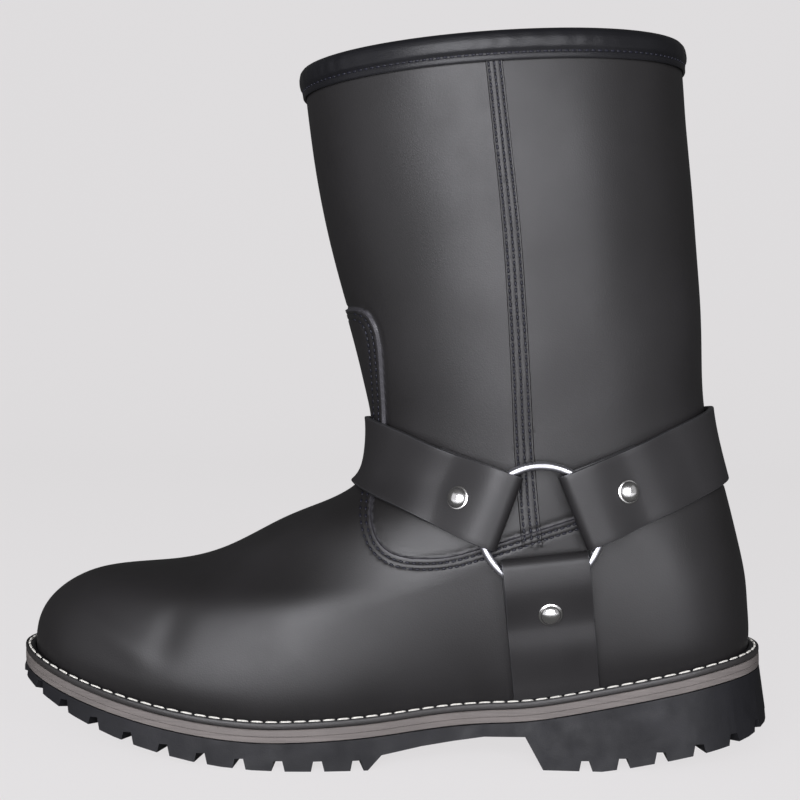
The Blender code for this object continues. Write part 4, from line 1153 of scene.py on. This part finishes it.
def make_rivet(name, node, side, strap):
    """A domed cap on a thin rim: a profile turned about the normal of the strap under it."""
    angle, spot = STRAP_ANGLES[strap], RIVET_AT[strap]
    reach = RIVET_RADIUS * 0.8
    along = spot[0] + np.array([0, reach, -reach, 0, 0])
    sideways = spot[1] + np.array([0, 0, 0, reach, -reach])
    spots = strap_layer(side, angle, along, sideways, LAYER_APART, OVER_LAYER)
    one, two = spots[1] - spots[2], spots[3] - spots[4]
    out = np.cross(one, two)
    out = unit(out)
    out = out * np.sign(out[1] * side)
    turns = np.linspace(0, 2 * math.pi, 17)[:-1]
    rim_along, rim_sideways = spot[0] + RIVET_RADIUS * np.cos(turns), spot[1] + RIVET_RADIUS * np.sin(turns)
    rim = strap_layer(side, angle, rim_along, rim_sideways, LAYER_APART, OVER_LAYER)
    rise = max(0.0, float(((rim - spots[0]) @ out).max()))
    foot = spots[0] + out * (rise + STRAP_THICK / 2 + GAP - 0.25)
    one = one - out * (one @ out)
    one = unit(one)
    two = np.cross(out, one)
    bow = np.linspace(0, math.pi / 2, 13)
    radii = np.concatenate([[0.0], 0.86 * np.sin(bow)[1:], [0.9, 0.97, 1.0, 0.98, 0.9, 0.0]])
    rises = np.concatenate([[1.0], 0.16 + 0.84 * np.cos(bow)[1:], [0.13, 0.12, 0.06, 0.0, 0.0, 0.0]])
    t = np.arange(48) * 2 * math.pi / 48
    radial = np.cos(t)[None, :, None] * one + np.sin(t)[None, :, None] * two
    points = foot + radial * (radii * RIVET_RADIUS)[:, None, None]
    points = points + out * (rises * (RIVET_HEIGHT + 0.2))[:, None, None]
    piece = make_mesh(name, points.reshape(-1, 3), grid_quads(len(radii), 48, wrap_columns=True),
                      finishes()["rivet_steel"], 50)
    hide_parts(node)
    return piece


# The stage


def make_stage(look):
    """A pale floor that curves up into a backdrop, soft boxes round the boot, and the photograph's camera."""
    depth = np.linspace(-2.4, 1.6, 30)
    bend = np.linspace(0, math.pi / 2, 24)
    radius = 1.4
    profile = [(y, 0.0) for y in depth]
    profile += [(1.6 + radius * math.sin(t), radius * (1 - math.cos(t))) for t in bend[1:]]
    profile += [(1.6 + radius, radius + 0.5 * k) for k in range(1, 8)]
    profile = np.array(profile)
    xs = np.linspace(-4.5, 4.5, 3)
    columns = (xs[None], profile[:, :1], profile[:, 1:])
    points = np.stack([np.broadcast_to(c, (len(profile), 3)) for c in columns], axis=-1).reshape(-1, 3)
    mesh = bpy.data.meshes.new("sweep")
    mesh.from_pydata(points.tolist(), [], grid_quads(len(profile), 3).tolist())
    mesh.polygons.foreach_set("use_smooth", np.ones(len(mesh.polygons), bool))
    sweep = bpy.data.objects.new("sweep", mesh)
    bpy.context.scene.collection.objects.link(sweep)
    n = Nodes("stage_paper", 0.9, specular=0.1)
    clouds = n.span(n.noise(3, 2), 0.3, 0.7, 0, 1)
    tone = n.mix(clouds, tuple(look.backdrop), tuple(v * 0.985 for v in look.backdrop))
    n.shader.inputs["Emission Color"].default_value = (*look.backdrop_glow, 1)
    n.shader.inputs["Emission Strength"].default_value = 1.0
    mesh.materials.append(n.finish(tone))
    sweep.visible_glossy = sweep.visible_diffuse = False
    world = bpy.data.worlds.new("studio")
    world.use_nodes = True
    world.node_tree.nodes["Background"].inputs["Color"].default_value = (1, 1, 1, 1)
    world.node_tree.nodes["Background"].inputs["Strength"].default_value = look.fill
    bpy.context.scene.world = world
    boxes = (
        ("key_box", (-0.35, -1.7, 0.42), (1.1, 1.2), look.key, (0.0, 0.0, 0.12)),
        ("right_box", (0.8, -1.6, 0.4), (0.45, 1.0), look.key * 0.26, (0.0, 0.0, 0.14)),
        ("front_wall", (0.0, -2.4, 0.75), (3.2, 2.4), look.front, (0.0, 0.0, 0.14)),
        ("floor_card", (0.0, -0.75, 0.004), (2.2, 1.1), look.front * 0.3, (0.0, -0.75, 1.0)),
        ("left_card", (-1.3, -0.7, 0.5), (1.0, 1.3), look.front * 0.12, (0.0, 0.0, 0.12)),
        ("right_card", (1.3, -0.5, 0.5), (0.9, 1.3), look.front * 0.05, (0.0, 0.0, 0.14)),
    )
    for name, spot, size, power, aim in boxes:
        light = bpy.data.lights.new(name, "AREA")
        light.shape = "RECTANGLE"
        light.size, light.size_y = size
        light.energy = power
        light.color = (0.95, 0.95, 1.0)
        lamp = bpy.data.objects.new(name, light)
        lamp.visible_camera = False
        bpy.context.scene.collection.objects.link(lamp)
        aim_at(lamp, spot, aim)
    make_camera()


def aim_at(obj, spot, aim):
    """Puts an object at spot and turns its -Z axis to aim."""
    obj.location = spot
    obj.rotation_euler = (Vector(aim) - Vector(spot)).to_track_quat("-Z", "Y").to_euler()


def make_camera():
    """The photograph's camera: place, yaw, pitch, roll and lens were fitted to the boot's outline."""
    yaw, pitch, roll = (math.radians(v) for v in (CAMERA_YAW, CAMERA_PITCH, CAMERA_ROLL))
    look = np.array([math.sin(yaw) * math.cos(pitch), math.cos(yaw) * math.cos(pitch), -math.sin(pitch)])
    right = np.array([math.cos(yaw), -math.sin(yaw), 0.0])
    up = np.cross(right, look)
    r = right * math.cos(roll) + up * math.sin(roll)
    u = -right * math.sin(roll) + up * math.cos(roll)
    camera = bpy.data.cameras.new("camera")
    camera.sensor_width = SENSOR_WIDTH
    camera.lens = FOCAL_PIXELS / PICTURE_PIXELS * SENSOR_WIDTH
    camera.clip_start, camera.clip_end = 0.02, 50.0
    holder = bpy.data.objects.new("camera", camera)
    bpy.context.scene.collection.objects.link(holder)
    rows = [[r[i], u[i], -look[i], CAMERA_AT[i]] for i in range(3)]
    holder.matrix_world = Matrix(rows + [[0, 0, 0, 1]])
    bpy.context.scene.camera = holder
    bpy.context.scene.view_settings.view_transform = "Standard"


# Add-on layout


def number(name, description, default):
    """A plain number that can be changed in the panel."""
    return bpy.props.FloatProperty(name=name, description=description, default=default)


def colour_property(name, description, default):
    """A colour that can be changed in the panel."""
    return bpy.props.FloatVectorProperty(
        name=name, description=description, default=default, size=3, subtype="COLOR", min=0.0, max=1.0
    )


class BootSizes(bpy.types.PropertyGroup):
    row_in: number("First row", "First stitch row from the vamp's edge, in mm", 2.0)
    row_out: number("Second row", "Second stitch row from the vamp's edge, in mm", 4.3)
    stitch_pitch: number("Stitch pitch", "Length of one stitch of the upper, in mm", 2.6)
    welt_stitches: bpy.props.IntProperty(
        name="Welt stitches", description="Lock stitches round the welt", default=124
    )
    pucker: number("Binding pucker", "Depth of the binding's puckers, in mm", 0.12)
    lug_round: number("Lug rounding", "Radius on the sole's moulded edges, in mm", 0.5)


class BootColours(bpy.types.PropertyGroup):
    upper_dark: colour_property("Upper, dark", "Deeper tone of the upper", (0.0095, 0.0088, 0.0088))
    upper_light: colour_property("Upper, light", "Lighter tone of the upper", (0.0155, 0.0145, 0.0152))
    strap_dark: colour_property("Strap, dark", "Deeper tone of the straps", (0.0135, 0.0127, 0.0132))
    strap_light: colour_property("Strap, light", "Lighter tone of the straps", (0.0215, 0.0205, 0.0212))
    sole: colour_property("Sole", "Tone of the rubber sole", (0.0075, 0.0075, 0.009))
    midsole: colour_property("Midsole", "Tone of the midsole's edge", (0.185, 0.165, 0.155))
    welt_thread: colour_property("Welt thread", "Tone of the welt's lock stitches", (0.72, 0.70, 0.64))


class BootStage(bpy.types.PropertyGroup):
    backdrop: colour_property("Backdrop", "Tone of the floor and backdrop", (0.12, 0.12, 0.12))
    backdrop_glow: colour_property(
        "Backdrop glow", "Even light of the floor and backdrop", (0.695, 0.68, 0.687)
    )
    key: number("Key light", "Power of the main soft box, in W", 44.0)
    front: number("Front wall", "Power of the wide soft wall in front, in W", 22.0)
    fill: number("Fill", "Strength of the even light from all round", 0.08)


class BOOT_OT_upper(bpy.types.Operator):
    """Builds the upper's skin and lining"""

    bl_idname = "boot.upper"
    bl_label = "Upper"

    def execute(self, context):
        make_upper(context.scene.boot_sizes)
        return {"FINISHED"}


class BOOT_OT_binding(bpy.types.Operator):
    """Builds the rolled binding round the collar"""

    bl_idname = "boot.binding"
    bl_label = "Collar binding"

    def execute(self, context):
        make_binding(context.scene.boot_sizes)
        return {"FINISHED"}


class BOOT_OT_sole(bpy.types.Operator):
    """Builds the welt, midsole, footbed and lug sole"""

    bl_idname = "boot.sole"
    bl_label = "Sole"

    def execute(self, context):
        for make in (make_welt, make_midsole, make_insole):
            make()
        make_outsole(context.scene.boot_sizes)
        return {"FINISHED"}


class BOOT_OT_harness(bpy.types.Operator):
    """Builds the straps, rings and rivets"""

    bl_idname = "boot.harness"
    bl_label = "Harness"

    def execute(self, context):
        across = np.linspace(-1, 1, 13)
        for strap in ("front", "back"):
            rows = wrapped_rows(STRAP_ANGLES[strap], STRAP_WIDTH / 2, across)
            make_strap(f"{strap}_strap", f"strap_{strap}", rows)
        for side, word in ((OUTER, "outer"), (INNER, "inner")):
            rows = side_rows(side, SIDE_STRAP_WIDTH / 2, across)
            make_strap(f"side_strap_{word}", f"strap_side_{word}", rows)
            make_ring(f"steel_ring_{word}", f"ring_{word}", side)
            for strap in STRAP_ANGLES:
                make_rivet(f"dome_rivet_{strap}_{word}", f"rivet_{strap}_{word}", side, strap)
        return {"FINISHED"}


class BOOT_OT_stitches(bpy.types.Operator):
    """Builds every row of stitches"""

    bl_idname = "boot.stitches"
    bl_label = "Stitches"

    def execute(self, context):
        sizes, made = context.scene.boot_sizes, finishes()
        fine = stitch_shape(sizes.stitch_pitch * 0.78, 0.95, 0.4)
        make_stitches("vamp_stitches", vamp_rows(sizes), made["black_thread"], fine)
        make_stitches("seam_stitches", seam_rows(sizes), made["black_thread"], fine)
        make_stitches("binding_stitches", binding_row(sizes), made["black_thread"], fine)
        thick = stitch_shape(5.2, 1.15, 0.5, 8, 7)
        make_stitches("welt_stitches", welt_row(sizes), made["white_thread"], thick)
        return {"FINISHED"}


class BOOT_OT_stage(bpy.types.Operator):
    """Builds the floor, lights and camera"""

    bl_idname = "boot.stage"
    bl_label = "Stage"

    def execute(self, context):
        make_stage(context.scene.boot_stage)
        return {"FINISHED"}


OPERATORS = (BOOT_OT_upper, BOOT_OT_binding, BOOT_OT_sole, BOOT_OT_harness, BOOT_OT_stitches, BOOT_OT_stage)


class BOOT_PT_panel(bpy.types.Panel):
    bl_label = "Harness boot"
    bl_space_type = "VIEW_3D"
    bl_region_type = "UI"
    bl_category = "Boot"

    def draw(self, context):
        for group in (context.scene.boot_sizes, context.scene.boot_colours, context.scene.boot_stage):
            box = self.layout.box()
            for key in group.bl_rna.properties.keys():
                if key not in ("rna_type", "name"):
                    box.prop(group, key)
        for operator in OPERATORS:
            self.layout.operator(operator.bl_idname)


CLASSES = (BootSizes, BootColours, BootStage, *OPERATORS, BOOT_PT_panel)


def register():
    """Registers the classes and hangs the three groups of properties on the scene."""
    for cls in CLASSES:
        bpy.utils.register_class(cls)
    bpy.types.Scene.boot_sizes = bpy.props.PointerProperty(type=BootSizes)
    bpy.types.Scene.boot_colours = bpy.props.PointerProperty(type=BootColours)
    bpy.types.Scene.boot_stage = bpy.props.PointerProperty(type=BootStage)


def unregister():
    """Takes the properties and the classes away again."""
    del bpy.types.Scene.boot_stage
    del bpy.types.Scene.boot_colours
    del bpy.types.Scene.boot_sizes
    for cls in reversed(CLASSES):
        bpy.utils.unregister_class(cls)


def main():
    """Builds every piece and the stage."""
    register()
    for operator in (bpy.ops.boot.upper, bpy.ops.boot.binding, bpy.ops.boot.sole, bpy.ops.boot.harness,
                     bpy.ops.boot.stitches, bpy.ops.boot.stage):
        operator()


if __name__ == "__main__":
    main()
